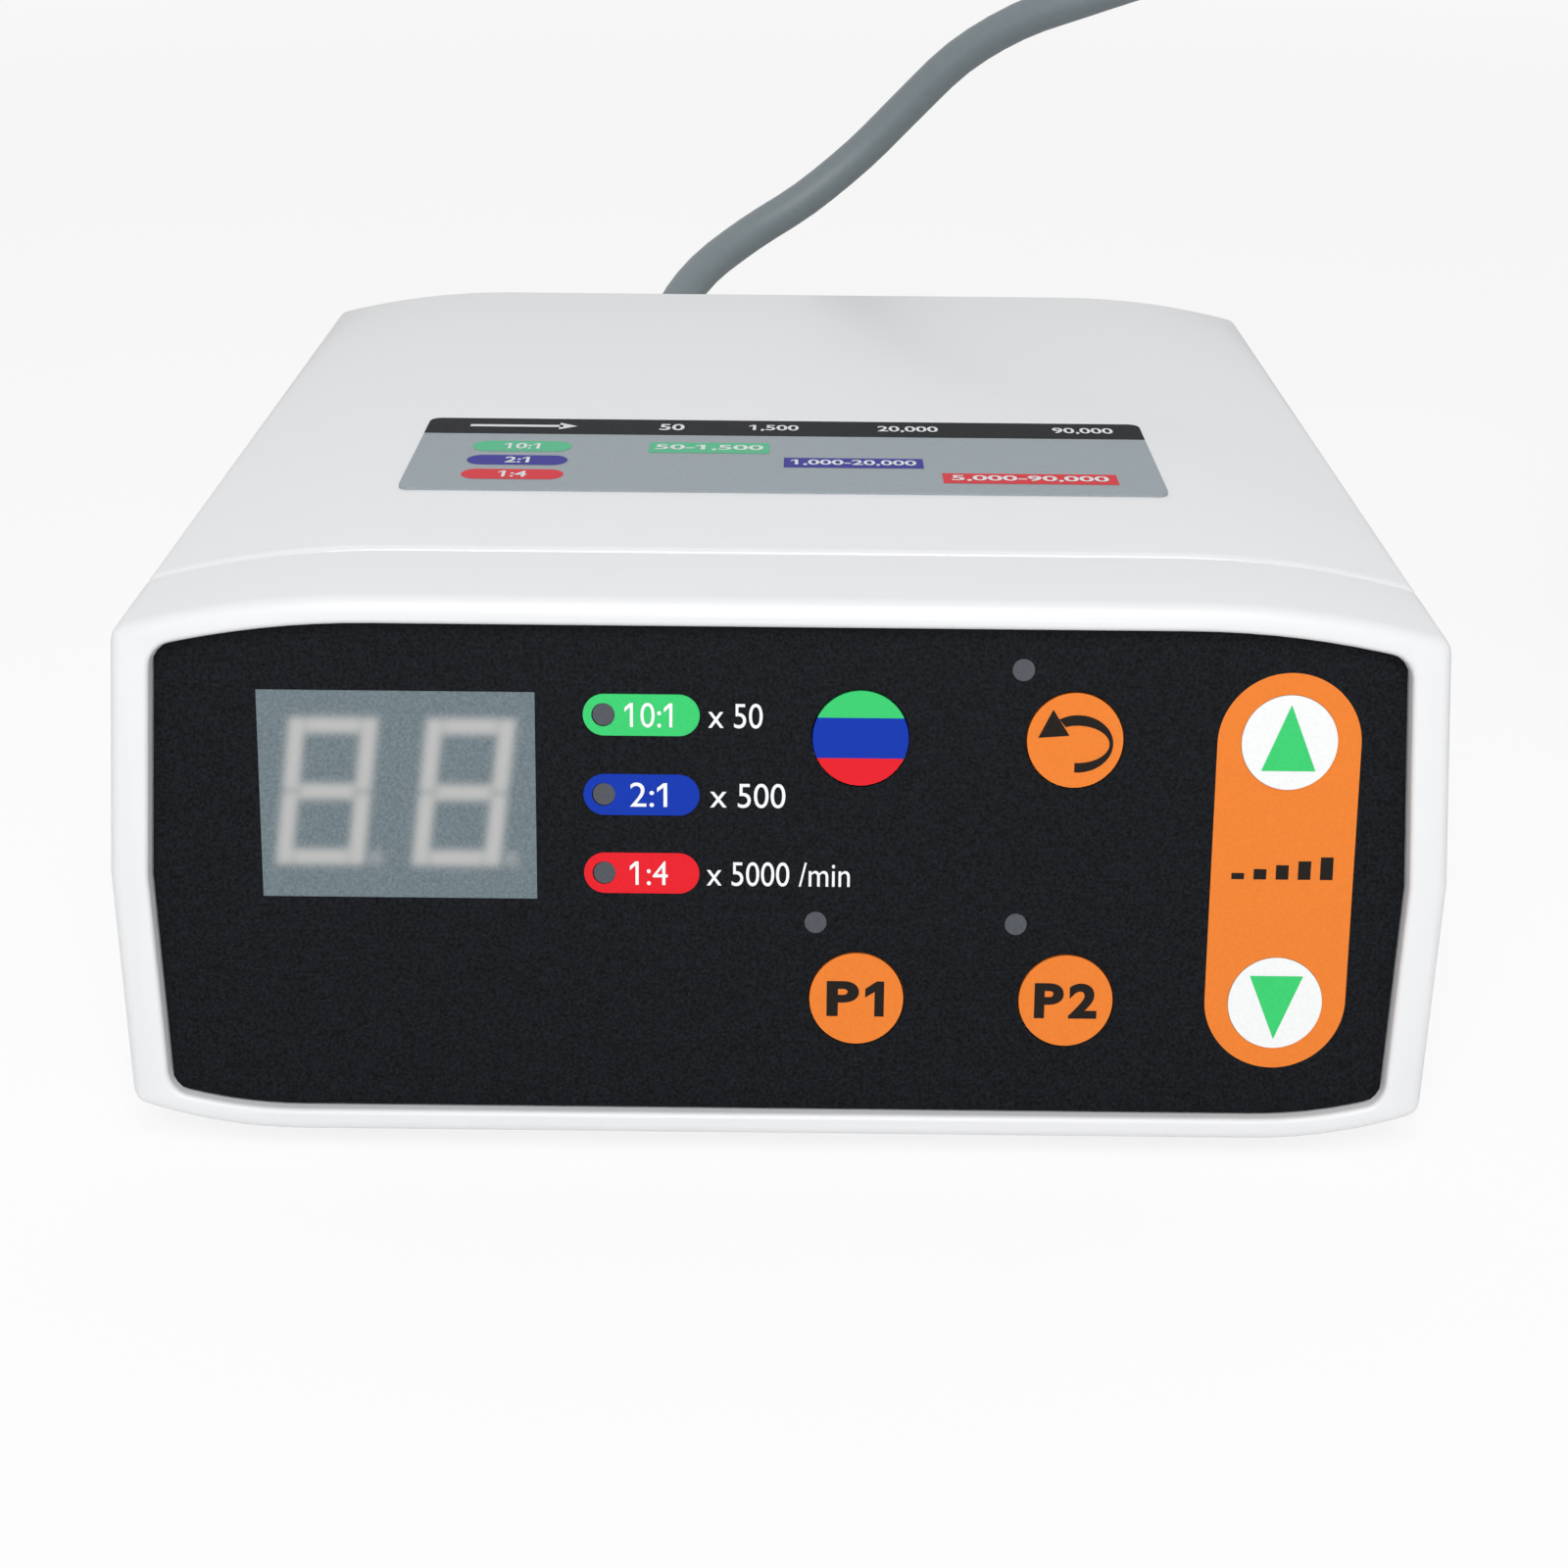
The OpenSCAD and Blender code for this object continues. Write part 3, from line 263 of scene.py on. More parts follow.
# Hose, in millimetres: one curve from the gland over its arch, through the coil, to the motor's boot
HOSE_D = 5.8
WIND_GAP = 0.7
WIND_PITCH = HOSE_D + WIND_GAP
COIL_IN_R = 24.5
COIL_LAYERS = 4
COIL_LOOPS = 6
COIL_FROM = 30
COIL_TO = 90
COIL_ENTRY = (199, 39.4)
COIL_APPROACH = (1.8, 1.4, 1)
TURN_STEPS = 24
STRETCH_STEPS = 3
TUBE_STEPS = 6
TIE_T = 0.8
GLAND_L = 15
GLAND_MIDDLE = 6.5
GLAND_OUT = 1.5
HOSE_IN = 3.5
LEAD_L = 34
LEAD_EASE = 3
LEAD_STEPS = 6
HOSE_SEAT = 12
FREE_ROUTE = [
    (-1, 27.5, 29), (-1.5, 37.5, 32.5), (0.5, 47.5, 37.5), (5, 56, 42), (12.5, 62.5, 46.5),
    (21.5, 66.5, 51.5), (30.5, 68.5, 58.5), (38, 68.5, 66), (46, 67, 74), (55, 64, 80),
    (64.5, 60.5, 84), (74.5, 58.5, 87.6), (85, 57.4, 91.2), (96, 56.7, 94.2), (107.5, 56.4, 96.4),
    (119.3, 56.4, 97.2), (130.2, 56.8, 95.8), (140.3, 57.6, 91.6), (149, 58.7, 84.9),
    (155.9, 59.7, 76.2), (160.6, 60.4, 66.1)]
LANDING_ROUTE = [
    (-36.7, 21.1, 32), (-35.8, 20.6, 23.7), (-33, 19, 16), (-28.6, 16.4, 9.4), (-22.8, 13.1, 4.3),
    (-16.2, 9.3, 1.1)]
gland_low, gland_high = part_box("cord_gland")
gland_x = (gland_low.x + gland_high.x) / 2 / MM
gland_z = (gland_low.z + gland_high.z) / 2 / MM
panel_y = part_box("rear_panel")[1].y / MM
motor_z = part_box("motor_sleeve")[1].z / MM / 2
coil_turn = 360 * COIL_LOOPS + COIL_TO - COIL_FROM
layer_turn = coil_turn / COIL_LAYERS
coil_z = TIE_T + HOSE_D / 2
coil_top_z = coil_z + (COIL_LAYERS - 1) * WIND_PITCH


def coil_radius(turn):
    return COIL_IN_R + WIND_PITCH * abs(turn % (2 * layer_turn) - layer_turn) / 360


def step_down(turn):
    """Share of a layer's drop, which takes the half turn round a reversal of the spiral."""
    return (1 + math.sin(math.radians(min(90, max(-90, turn))))) / 2


coil_entry = Vector((gland_x + COIL_ENTRY[0], panel_y + COIL_ENTRY[1], coil_top_z))
from_angle = math.radians(COIL_FROM)
entry_way = Vector((math.cos(from_angle), -math.sin(from_angle), 0))
coil_middle = coil_entry - coil_radius(0) * Vector((math.sin(from_angle), math.cos(from_angle), 0))


def coil_point(turn):
    angle = math.radians(COIL_FROM + turn)
    drop = sum(step_down(turn - k * layer_turn) for k in range(1, COIL_LAYERS)) * WIND_PITCH
    r = coil_radius(turn)
    return coil_middle + Vector((r * math.sin(angle), r * math.cos(angle), -drop))


def smooth(route, steps):
    """Curve through a route's points, with so many steps to each stretch."""
    points = [Vector(p) for p in route]
    result = []
    for i in range(len(points) - 1):
        a, b = points[max(0, i - 1)], points[i]
        c, d = points[i + 1], points[min(len(points) - 1, i + 2)]
        for k in range(steps):
            t = k / steps
            result.append(0.5 * (2 * b + (c - a) * t + (2 * a - 5 * b + 4 * c - d) * t ** 2
                                 + (3 * b - a - 3 * c + d) * t ** 3))
    return result + [points[-1]]


def lead_points():
    """From the coil's end up to the motor's boot, straight at both ends."""
    exit_x = coil_middle.x + coil_radius(coil_turn)
    exit_y = coil_middle.y - HOSE_D
    boot_y = exit_y - LEAD_L
    rise = [(exit_x, exit_y - LEAD_EASE - k / LEAD_STEPS * (LEAD_L - 2 * LEAD_EASE),
             coil_z + (motor_z - coil_z) * (1 - math.cos(math.pi * k / LEAD_STEPS)) / 2)
            for k in range(LEAD_STEPS + 1)]
    start = [(exit_x, exit_y - dy, coil_z) for dy in (0, LEAD_EASE / 2)]
    return start + rise + [(exit_x, boot_y - dy, motor_z) for dy in (0, HOSE_SEAT)]


def hose_points():
    """The whole way of the hose's middle line."""
    start = [(gland_x, panel_y + dy, gland_z) for dy in (-HOSE_IN, GLAND_MIDDLE, GLAND_L + GLAND_OUT)]
    free = [(gland_x + x, panel_y + y, z) for x, y, z in FREE_ROUTE]
    landing = [coil_entry + Vector(p) for p in LANDING_ROUTE]
    landing += [coil_entry - k * HOSE_D * entry_way for k in COIL_APPROACH]
    steps = round(coil_turn / 360 * TURN_STEPS)
    turns = [coil_point(coil_turn * k / steps) for k in range(steps + 1)]
    return smooth(start + free + landing + turns + lead_points(), STRETCH_STEPS)


def arc(centre, radius, start, end, steps, squeeze=1):
    """Points of an arc, with angles in degrees; squeeze flattens it across."""
    turn = [math.radians(start + (end - start) * k / steps) for k in range(steps + 1)]
    return [(centre[0] + radius * math.cos(a), centre[1] + radius * squeeze * math.sin(a)) for a in turn]


# Shells with rounded edges, made from copies of the CAD meshes
SMOOTH_ANGLE = math.radians(32)
SHARP_ANGLE = math.radians(30)
FLAT_ANGLE = math.radians(0.4)
EDGE_R = 1.2 * MM
RIM_R = 0.5 * MM
SEAM_R = 0.6 * MM
PARTING_R = 0.2 * MM
GROOVE = 1.0 * MM
CORNER_R = 1.8 * MM
# Forms of an edge: its steps, its profile, and 0 for the node's own finish or 1 for the polish
ROUND = (4, 0.5, 0)
GLINT = (4, 0.5, 1)
NOTCH = (2, 0, 0)
# Limits for the tests that pick edges
NEAR = 0.02 * MM
WELD = 0.001 * MM
SKIN_SIDE = 5 * MM
SKIN_END = 6 * MM
SKIN_OUT = 1 * MM
LEVEL_Y = 0.1
STEEP_Z = 0.5
STRAIGHT = 0.95
LONG_EDGE = 5 * MM
CORNER_OFF = 10 * MM
# Planes of the case
half_width = bezel_high.x
case_top = bezel_high.z
case_low = bezel_low.z
case_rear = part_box("upper_case")[1].y
part_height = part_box("upper_case")[0].z
seam_depth = face_span("upper_case")[1].z


def edge_middle(edge):
    return (edge.verts[0].co + edge.verts[1].co) / 2


def all_at(edge, level, value):
    """Whether both ends of an edge lie at a level."""
    return all(abs(level(v.co) - value) < NEAR for v in edge.verts)


def depth_of(co):
    return (FACE_INVERSE @ co).z


def on_skin(edge):
    """Whether an edge borders a face of the outer skin, which looks away from the case's middle."""
    middle = Vector((0, 0, part_height))
    def looks_out(face):
        away = face.calc_center_median() - middle
        away.y = 0
        reach = abs(away.x) > half_width - SKIN_SIDE or away.z > case_top - part_height - SKIN_END
        reach = reach or away.z < case_low - part_height + SKIN_END
        return reach and face.normal.dot(away) > SKIN_OUT and abs(face.normal.y) < LEVEL_Y
    return any(looks_out(f) for f in edge.link_faces)


def along_y(edge):
    run = edge.verts[1].co - edge.verts[0].co
    return abs(run.y) > STRAIGHT * run.length and run.length > LONG_EDGE


def corner_edge(edge):
    """Whether an edge is one of the case's long corners, well off the parting line."""
    return along_y(edge) and abs(edge_middle(edge).z - part_height) > CORNER_OFF


def softened(node, rounds, polish=None):
    """Copy of a CAD node with edges rounded or notched; rounds holds each kind's test, size and form."""
    bm = bmesh.new()
    bm.from_mesh(nodes[node].data)
    bmesh.ops.remove_doubles(bm, verts=bm.verts, dist=WELD)
    bmesh.ops.dissolve_limit(bm, angle_limit=FLAT_ANGLE, verts=bm.verts, edges=bm.edges)
    for wanted, size, (segments, profile, finish) in rounds:
        bm.normal_update()
        sharp = [e for e in bm.edges if len(e.link_faces) == 2 and e.calc_face_angle() > SHARP_ANGLE]
        picked = [e for e in sharp if wanted(e)]
        bmesh.ops.bevel(bm, geom=picked, offset=size, segments=segments, profile=profile, affect="EDGES",
                        clamp_overlap=False, material=finish)
        bmesh.ops.remove_doubles(bm, verts=bm.verts, dist=WELD)
    mesh = mesh_from(bm, node + "_soft")
    mesh.attributes.remove(mesh.attributes["custom_normal"])
    mesh.shade_smooth()
    mesh.set_sharp_from_angle(angle=SMOOTH_ANGLE)
    slot = slot_of_node[node]
    finishes = [FINISH_OF_SLOT[slot]] + ([polish] if polish else [])
    piece = add_piece(node + "_soft", mesh, finishes, body_of_node[node])
    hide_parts(node)


def opening_corner(edge):
    """Whether an edge is an inner corner of the bezel's opening, which runs in from the rim."""
    ends = [FACE_INVERSE @ v.co for v in edge.verts]
    flat = (ends[1] - ends[0]).to_2d().length < NEAR
    return flat and not edge.is_convex and max(p.z for p in ends) > -NEAR


def at_rear(edge):
    return all_at(edge, lambda co: co.y, case_rear)


def parting_edge(edge):
    """Whether an edge runs along the parting line, over the rounded rear corner and the rear rim too."""
    def looks_out(face):
        centre = face.calc_center_median()
        aside = abs(centre.x) > half_width - EDGE_R and face.normal.x * centre.x > 0
        behind = centre.y > case_rear - EDGE_R and face.normal.y > 0
        return abs(face.normal.z) < STEEP_Z and (aside or behind)
    flat = all_at(edge, lambda co: co.z, part_height)
    return flat and edge.is_convex and any(looks_out(f) for f in edge.link_faces)


def at_depth(edge, depth):
    return all_at(edge, depth_of, depth)


def outer(test):
    """Test for the convex edges of the outer skin."""
    return lambda e: e.is_convex and on_skin(e) and test(e)


def add_shells():
    softened("front_bezel", [
        (opening_corner, CORNER_R, ROUND),
        (outer(lambda e: corner_edge(e) or at_depth(e, 0)), EDGE_R, ROUND),
        (lambda e: e.is_convex and at_depth(e, 0) and not on_skin(e), RIM_R, ROUND),
        (outer(lambda e: at_depth(e, seam_depth)), GROOVE, NOTCH)])
    for shell in ("upper_case", "lower_case"):
        softened(shell, [
            (outer(lambda e: corner_edge(e) or at_rear(e)), EDGE_R, ROUND),
            (outer(lambda e: at_depth(e, seam_depth)), SEAM_R, GLINT),
            (parting_edge, PARTING_R, ROUND)], case_polish)


# Rounded edges of the small rigid pieces, in millimetres
EDGE_OF_NODE = {
    "motor_sleeve": 0.4, "motor_boot": 0.5, "motor_nose": 0.2, "motor_tail_nut": 0.15, "cord_gland": 0.5,
    "rubber_feet": 0.6, "switch_rocker": 0.3, "switch_housing": 0.3, "power_jack": 0.2, "pedal_socket": 0.2,
}


def add_soft_edges():
    for node, size in EDGE_OF_NODE.items():
        softened(node, [(lambda e: e.is_convex, size * MM, ROUND)])


# Strap round the coil, in millimetres: a band that overlaps itself, in the coil tie's place
STRAP_T = 0.74
STRAP_EASE = 0.03
STRAP_TAIL = 9
STRAP_RAMP = 4
STRAP_STEP = 0.6
STRAP_RIM = 0.3
STRAP_PLAY = 0.02
STRAP_OVERLAP = 1.05
STRAP_REACH = 1


def strap_frame():
    """Matrix of the strap's own axes: outwards from the coil's middle, along the hose, and up."""
    low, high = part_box("coil_tie")
    away = ((low + high) / 2 - coil_middle * MM).to_2d().normalized()
    turn = Matrix(((away.x, -away.y, 0), (away.y, away.x, 0), (0, 0, 1))).to_4x4()
    return Matrix.Translation((coil_middle.x * MM, coil_middle.y * MM, 0)) @ turn


def hull(points):
    """Convex outline round points, anticlockwise."""
    def half(run):
        made = []
        for p in run:
            while len(made) > 1 and (made[-1] - made[-2]).cross(p - made[-2]) <= 0:
                made.pop()
            made.append(p)
        return made[:-1]
    run = [Vector(p) for p in sorted(points)]
    return half(run) + half(run[::-1])


def strap_path(turns):
    """Taut loop round the hose's turns from the outer end of its top, then the tail over its start."""
    r = (HOSE_D + STRAP_T) / 2 + STRAP_EASE
    loop = hull([p for c in turns for p in arc((c.x, c.z), r, 0, 360, steps=48)])
    start = max(range(len(loop)), key=lambda k: loop[k - 1].x - loop[k].x) - 1
    loop = loop[start:] + loop[:start + 1]
    runs = [(b - a).length for a, b in zip(loop, loop[1:])]
    whole = sum(runs)

    def along(way):
        way %= whole
        for a, b, run in zip(loop, loop[1:], runs):
            if way <= run:
                return a.lerp(b, way / run)
            way -= run
        return loop[-1]

    path = []
    steps = round((whole + STRAP_TAIL) / STRAP_STEP)
    for k in range(steps + 1):
        way = k / steps * (whole + STRAP_TAIL)
        run = along(way + STRAP_STEP / 2) - along(way - STRAP_STEP / 2)
        rise = min(1, max(0, (way - whole) / STRAP_RAMP + 1))
        lift = STRAP_T * STRAP_OVERLAP * (1 - math.cos(math.pi * rise)) / 2
        path.append(along(way) + lift * Vector((run.y, -run.x)).normalized())
    return path


def add_strap():
    """Band with rounded sides, swept along its path."""
    frame_of_strap = strap_frame()
    inverse = frame_of_strap.inverted()
    low, high = (corner / MM for corner in span_in(inverse, "coil_tie"))
    half_w, half_t = (high.y - low.y) / 2, STRAP_T / 2 - STRAP_PLAY
    hose = [inverse @ (p * MM) / MM for p in hose_points()]
    path = strap_path([p for p in hose if p.x > 0 and abs(p.y) < half_w + STRAP_REACH and p.z < high.z])
    flat_w, flat_t = half_w - STRAP_RIM, half_t - STRAP_RIM
    section = [(-half_w, -flat_t), (-flat_w, -half_t), (flat_w, -half_t), (half_w, -flat_t),
               (half_w, flat_t), (flat_w, half_t), (-flat_w, half_t), (-half_w, flat_t)]
    bm = bmesh.new()
    rings = []
    for i, point in enumerate(path):
        way = (path[min(i + 1, len(path) - 1)] - path[max(i - 1, 0)]).normalized()
        out = Vector((-way.y, way.x))
        ring = [Vector((point.x - out.x * t, w, point.y - out.y * t)) for w, t in section]
        rings.append([bm.verts.new(frame_of_strap @ (p * MM)) for p in ring])
    count = len(section)
    for a, b in zip(rings, rings[1:]):
        for k in range(count):
            bm.faces.new((a[k], a[(k + 1) % count], b[(k + 1) % count], b[k]))
    bm.faces.new(rings[0][::-1])
    bm.faces.new(rings[-1])
    bmesh.ops.recalc_face_normals(bm, faces=bm.faces)
    mesh = mesh_from(bm, "coil_strap")
    mesh.shade_smooth()
    mesh.set_sharp_from_angle(angle=SMOOTH_ANGLE)
    strap = add_piece("coil_strap", mesh, [strap_black], "unit")
    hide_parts("coil_tie")


add_shells()
add_soft_edges()
add_strap()

# The hose as one piece
HOSE_NODES = ("hose_run", "hose_coil", "hose_lead")


def add_hose():
    points = hose_points()
    data = bpy.data.curves.new("motor_hose", "CURVE")
    data.dimensions = "3D"
    data.bevel_depth = HOSE_D / 2 * MM
    data.bevel_resolution = TUBE_STEPS
    data.use_fill_caps = True
    spline = data.splines.new("POLY")
    spline.points.add(len(points) - 1)
    for knot, point in zip(spline.points, points):
        knot.co = (*(point * MM), 1)
    spline.use_smooth = True
    data.materials.append(hose_grey)
    hose = add_object("motor_hose", data)
    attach(hose, "unit")
    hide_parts(*HOSE_NODES)


add_hose()

# Prints, in millimetres: flat shapes a hair above the surface that carries them
PRINT_LIFT = 0.03
OVERPRINT_LIFT = 2 * PRINT_LIFT
PRINT_WELD = 0.0001 * MM
# The flag of a figure one, in units of the font
FLAG_REACH = 0.17
FLAG_DROP = 0.14
FLAG_WEIGHT = 0.12


def lettering(text, weight):
    """Outlines of the faces of a line of text, one unit high, in the built-in font."""
    data = bpy.data.curves.new("words", "FONT")
    data.body = text
    data.offset = weight
    shape = bpy.data.objects.new("words", data)
    mesh = bpy.data.meshes.new_from_object(shape)
    outlines = [[tuple(mesh.vertices[i].co.to_2d()) for i in p.vertices] for p in mesh.polygons]
    bpy.data.objects.remove(shape)
    bpy.data.curves.remove(data)
    bpy.data.meshes.remove(mesh)
    return outlines


def flags(text, weight):
    """The slanting stroke before each figure one, which the font draws as a bare bar."""
    bar = [point for outline in lettering("1", weight) for point in outline]
    bar_w = max(x for x, _ in bar) - min(x for x, _ in bar)
    top = max(y for _, y in bar)
    made = []
    for k in (k for k, figure in enumerate(text) if figure == "1"):
        left = max(x for outline in lettering(text[:k + 1], weight) for x, _ in outline) - bar_w
        made.append([(left, top), (left - FLAG_REACH, top - FLAG_DROP),
                     (left - FLAG_REACH, top - FLAG_DROP - FLAG_WEIGHT), (left, top - FLAG_WEIGHT)])
    return made


class Print:
    """Flat shapes in one plane, in millimetres, that become one piece on a body."""

    def __init__(self, name, plane, body):
        self.name, self.plane, self.body = name, plane, body
        self.bm = bmesh.new()
        self.finishes = []

    def shape(self, points, finish, lift=PRINT_LIFT):
        """One face with an outline in either direction, turned so that it looks outwards."""
        if finish not in self.finishes:
            self.finishes.append(finish)
        turning = sum(a[0] * b[1] - b[0] * a[1] for a, b in zip(points, points[1:] + points[:1]))
        if turning < 0:
            points = points[::-1]
        verts = [self.bm.verts.new(self.plane @ (Vector((x, y, lift)) * MM)) for x, y in points]
        face = self.bm.faces.new(verts)
        face.material_index = self.finishes.index(finish)

    def words(self, text, centre, cap, finish, width=None, weight=0, lift=PRINT_LIFT):
        """Lettering round a centre, with a capital's height and, where given, the width of the whole."""
        outlines = lettering(text, weight) + flags(text, weight)
        xs, ys = zip(*(point for outline in outlines for point in outline))
        middle_x, middle_y = (min(xs) + max(xs)) / 2, (min(ys) + max(ys)) / 2
        tall = cap / (max(ys) - min(ys))
        wide = width / (max(xs) - min(xs)) if width else tall
        for outline in outlines:
            self.shape([(centre[0] + (x - middle_x) * wide, centre[1] + (y - middle_y) * tall)
                        for x, y in outline], finish, lift)

    def done(self):
        """The finished piece."""
        bmesh.ops.remove_doubles(self.bm, verts=self.bm.verts, dist=PRINT_WELD)
        self.bm.normal_update()
        return add_piece(self.name, mesh_from(self.bm, self.name), self.finishes, self.body)


def pill(centre, width, height):
    """Outline with round ends, lying or standing."""
    r = min(width, height) / 2
    dx, dy = width / 2 - r, height / 2 - r
    if width > height:
        return (arc((centre[0] + dx, centre[1]), r, -90, 90, steps=16)
                + arc((centre[0] - dx, centre[1]), r, 90, 270, steps=16))
    return (arc((centre[0], centre[1] + dy), r, 0, 180, steps=16)
            + arc((centre[0], centre[1] - dy), r, 180, 360, steps=16))


def oblong(x0, y0, x1, y1):
    return [(x0, y0), (x1, y0), (x1, y1), (x0, y1)]


def placed(points, centre, size=1):
    """Outline moved to a centre; a size of -1 turns it round by half a turn."""
    return [(centre[0] + size * x, centre[1] + size * y) for x, y in points]


def face_plane(level):
    return FACE @ Matrix.Translation((0, 0, level))


overlay_plane = face_plane(face_span("keypad_overlay")[1].z)
key_plane = face_plane(face_span("key_range")[1].z)
window_plane = face_plane(face_span("display_window")[1].z)


def key_middle(name):
    place = face_middle("key_" + name) / MM
    return (place.x, place.y)


# Printed panel: ratio pills round the indicator dots, multipliers and the field round the speed keys
PILL_X = -12.975
PILL_SIZE = (10.95, 3.95)
PILL_V = (41.1, 33.48, 25.88)
DOT_X = -16.55
DOT_HOLE_R = 1.1
RATIOS = (("10:1", 4.5), ("2:1", 3.5), ("1:4", 3.6))
RATIO_X = -12.3
MULTIPLIERS = (("x 50", -6.7, -1.6), ("x 500", -6.5, 0.6), ("x 5000 /min", -6.8, 6.8))
LEGEND_CAP = 2.35
FIELD_W = 13.5
FIELD_V = (7.2, 45.7)
KEY_HOLE_R = 4.54
BARS_V = 25.9
BAR_COUNT = 5
BAR_PITCH = 2.1
BAR_W = 1.2
BAR_LOW = 0.6
BAR_STEP = 0.4


def dotted_pill(panel, v, finish):
    """Pill in two halves, so that the indicator dot stays open."""
    r = PILL_SIZE[1] / 2
    reach = PILL_SIZE[0] / 2 - r
    for side in (1, -1):
        ends = arc((PILL_X - reach, v), r, 180, 180 - 90 * side, steps=12)
        ends += arc((PILL_X + reach, v), r, 90 * side, 0, steps=12)
        panel.shape(ends + arc((DOT_X, v), DOT_HOLE_R, 0, 180 * side, steps=24), finish)


def key_edge(centre, side):
    """Half of the open circle round a key, from below it to above it."""
    return arc(centre, KEY_HOLE_R, -90, -90 + 180 * side, steps=32)


def speed_field(panel):
    """Field with round ends in two halves, so that both speed keys stay open, and its rising bars."""
    x, high_v = key_middle("speed_up")
    low_v = key_middle("speed_down")[1]
    r = FIELD_W / 2
    for side in (1, -1):
        outline = arc((x, FIELD_V[1] - r), r, 90, 90 - 90 * side, steps=24)
        outline += arc((x, FIELD_V[0] + r), r, 90 - 90 * side, 90 - 180 * side, steps=24)
        outline += key_edge((x, low_v), side) + key_edge((x, high_v), side)
        panel.shape(outline, print_orange)
    for k in range(BAR_COUNT):
        bar_x = x + (k - (BAR_COUNT - 1) / 2) * BAR_PITCH
        bar_top = BARS_V + BAR_LOW + BAR_STEP * k
        bar = oblong(bar_x - BAR_W / 2, BARS_V, bar_x + BAR_W / 2, bar_top)
        panel.shape(bar, print_black, OVERPRINT_LIFT)


def add_panel_print():
    panel = Print("panel_print", overlay_plane, "unit")
    for v, finish, (ratio, width) in zip(PILL_V, (print_green, print_blue, print_red), RATIOS):
        dotted_pill(panel, v, finish)
        panel.words(ratio, (RATIO_X, v), LEGEND_CAP, print_white, width, lift=OVERPRINT_LIFT)
    for v, (text, left, right) in zip(PILL_V, MULTIPLIERS):
        panel.words(text, ((left + right) / 2, v), LEGEND_CAP, print_white, right - left)
    speed_field(panel)
    panel.done()


add_panel_print()

# Prints on the keys, in millimetres from each key's middle
STRIPE_V = 1.93
ARROW_HEAD = ((-3.48, 0.24), (-0.55, 0.46), (-2.14, 2.93))
ARROW_OUTER = {"centre": (0.23, -0.31), "radius": 3.34, "start": -94, "end": 122, "squeeze": 2.73 / 3.34}
ARROW_INNER = {"centre": (0.22, -0.35), "radius": 3.0, "start": 113, "end": -94, "squeeze": 1.78 / 3.0}
TRIANGLE = ((-2.55, -2.7), (2.55, -2.7), (0, 3.6))
MARK_CAP = 3.5
MARK_WEIGHT = 0.04
FIRST_LETTER = ("P", -1.3, 3.1)
FIRST_FIGURE = ((1.75, -1.75), (2.65, -1.75), (2.65, 1.75), (1.95, 1.75), (0.85, 1), (0.85, 0.15),
                (1.75, 0.7))
SECOND_LETTERS = (("P", -1.6, 2.8), ("2", 1.65, 2.7))


def striped_finish():
    """The range key's three colours, picked by the place up the face."""
    made = panel_ink("key_stripes", WHITE)
    tree = made.node_tree
    shader = tree.nodes["Principled BSDF"]
    grain = shader.inputs["Base Color"].links[0].from_socket
    middle = (FACE @ (Vector((*key_middle("range"), 0)) * MM)).dot(FACE_V)
    reach = 3 * STRIPE_V * MM
    place = tree.nodes.new("ShaderNodeTexCoord")
    height = tree.nodes.new("ShaderNodeVectorMath")
    height.operation = "DOT_PRODUCT"
    height.inputs[1].default_value = FACE_V
    share = tree.nodes.new("ShaderNodeMapRange")
    share.inputs["From Min"].default_value = middle - reach
    share.inputs["From Max"].default_value = middle + reach
    bands = tree.nodes.new("ShaderNodeValToRGB")
    bands.color_ramp.interpolation = "CONSTANT"
    bands.color_ramp.elements[0].color = RED
    bands.color_ramp.elements[1].position = 1 / 3
    bands.color_ramp.elements[1].color = BLUE
    bands.color_ramp.elements.new(2 / 3).color = GREEN
    blend = tree.nodes.new("ShaderNodeVectorMath")
    blend.operation = "MULTIPLY"
    tree.links.new(place.outputs["Object"], height.inputs[0])
    tree.links.new(height.outputs["Value"], share.inputs["Value"])
    tree.links.new(share.outputs["Result"], bands.inputs["Fac"])
    tree.links.new(bands.outputs["Color"], blend.inputs[0])
    tree.links.new(grain, blend.inputs[1])
    tree.links.new(blend.outputs["Vector"], shader.inputs["Base Color"])
    return made


nodes["key_range"].data.materials[0] = striped_finish()


def turn_arrow(key, centre):
    key.shape(placed(ARROW_HEAD, centre), print_black)
    key.shape(placed(arc(**ARROW_OUTER, steps=30) + arc(**ARROW_INNER, steps=30), centre), print_black)


def mark_letter(key, centre, letter, offset, width):
    """Letter to the left or right of a key's middle."""
    key.words(letter, (centre[0] + offset, centre[1]), MARK_CAP, print_black, width, MARK_WEIGHT)


def first_mark(key, centre):
    mark_letter(key, centre, *FIRST_LETTER)
    key.shape(placed(FIRST_FIGURE, centre), print_black)


def second_mark(key, centre):
    for letter in SECOND_LETTERS:
        mark_letter(key, centre, *letter)


def add_key_prints():
    drawn = {
        "reverse": turn_arrow,
        "memory_1": first_mark,
        "memory_2": second_mark,
        "speed_up": lambda key, c: key.shape(placed(TRIANGLE, c), print_green),
        "speed_down": lambda key, c: key.shape(placed(TRIANGLE, c, -1), print_green),
    }
    for name, draw in drawn.items():
        key = Print(name + "_print", key_plane, body_of_node["key_" + name])
        draw(key, key_middle(name))
        key.done()


add_key_prints()
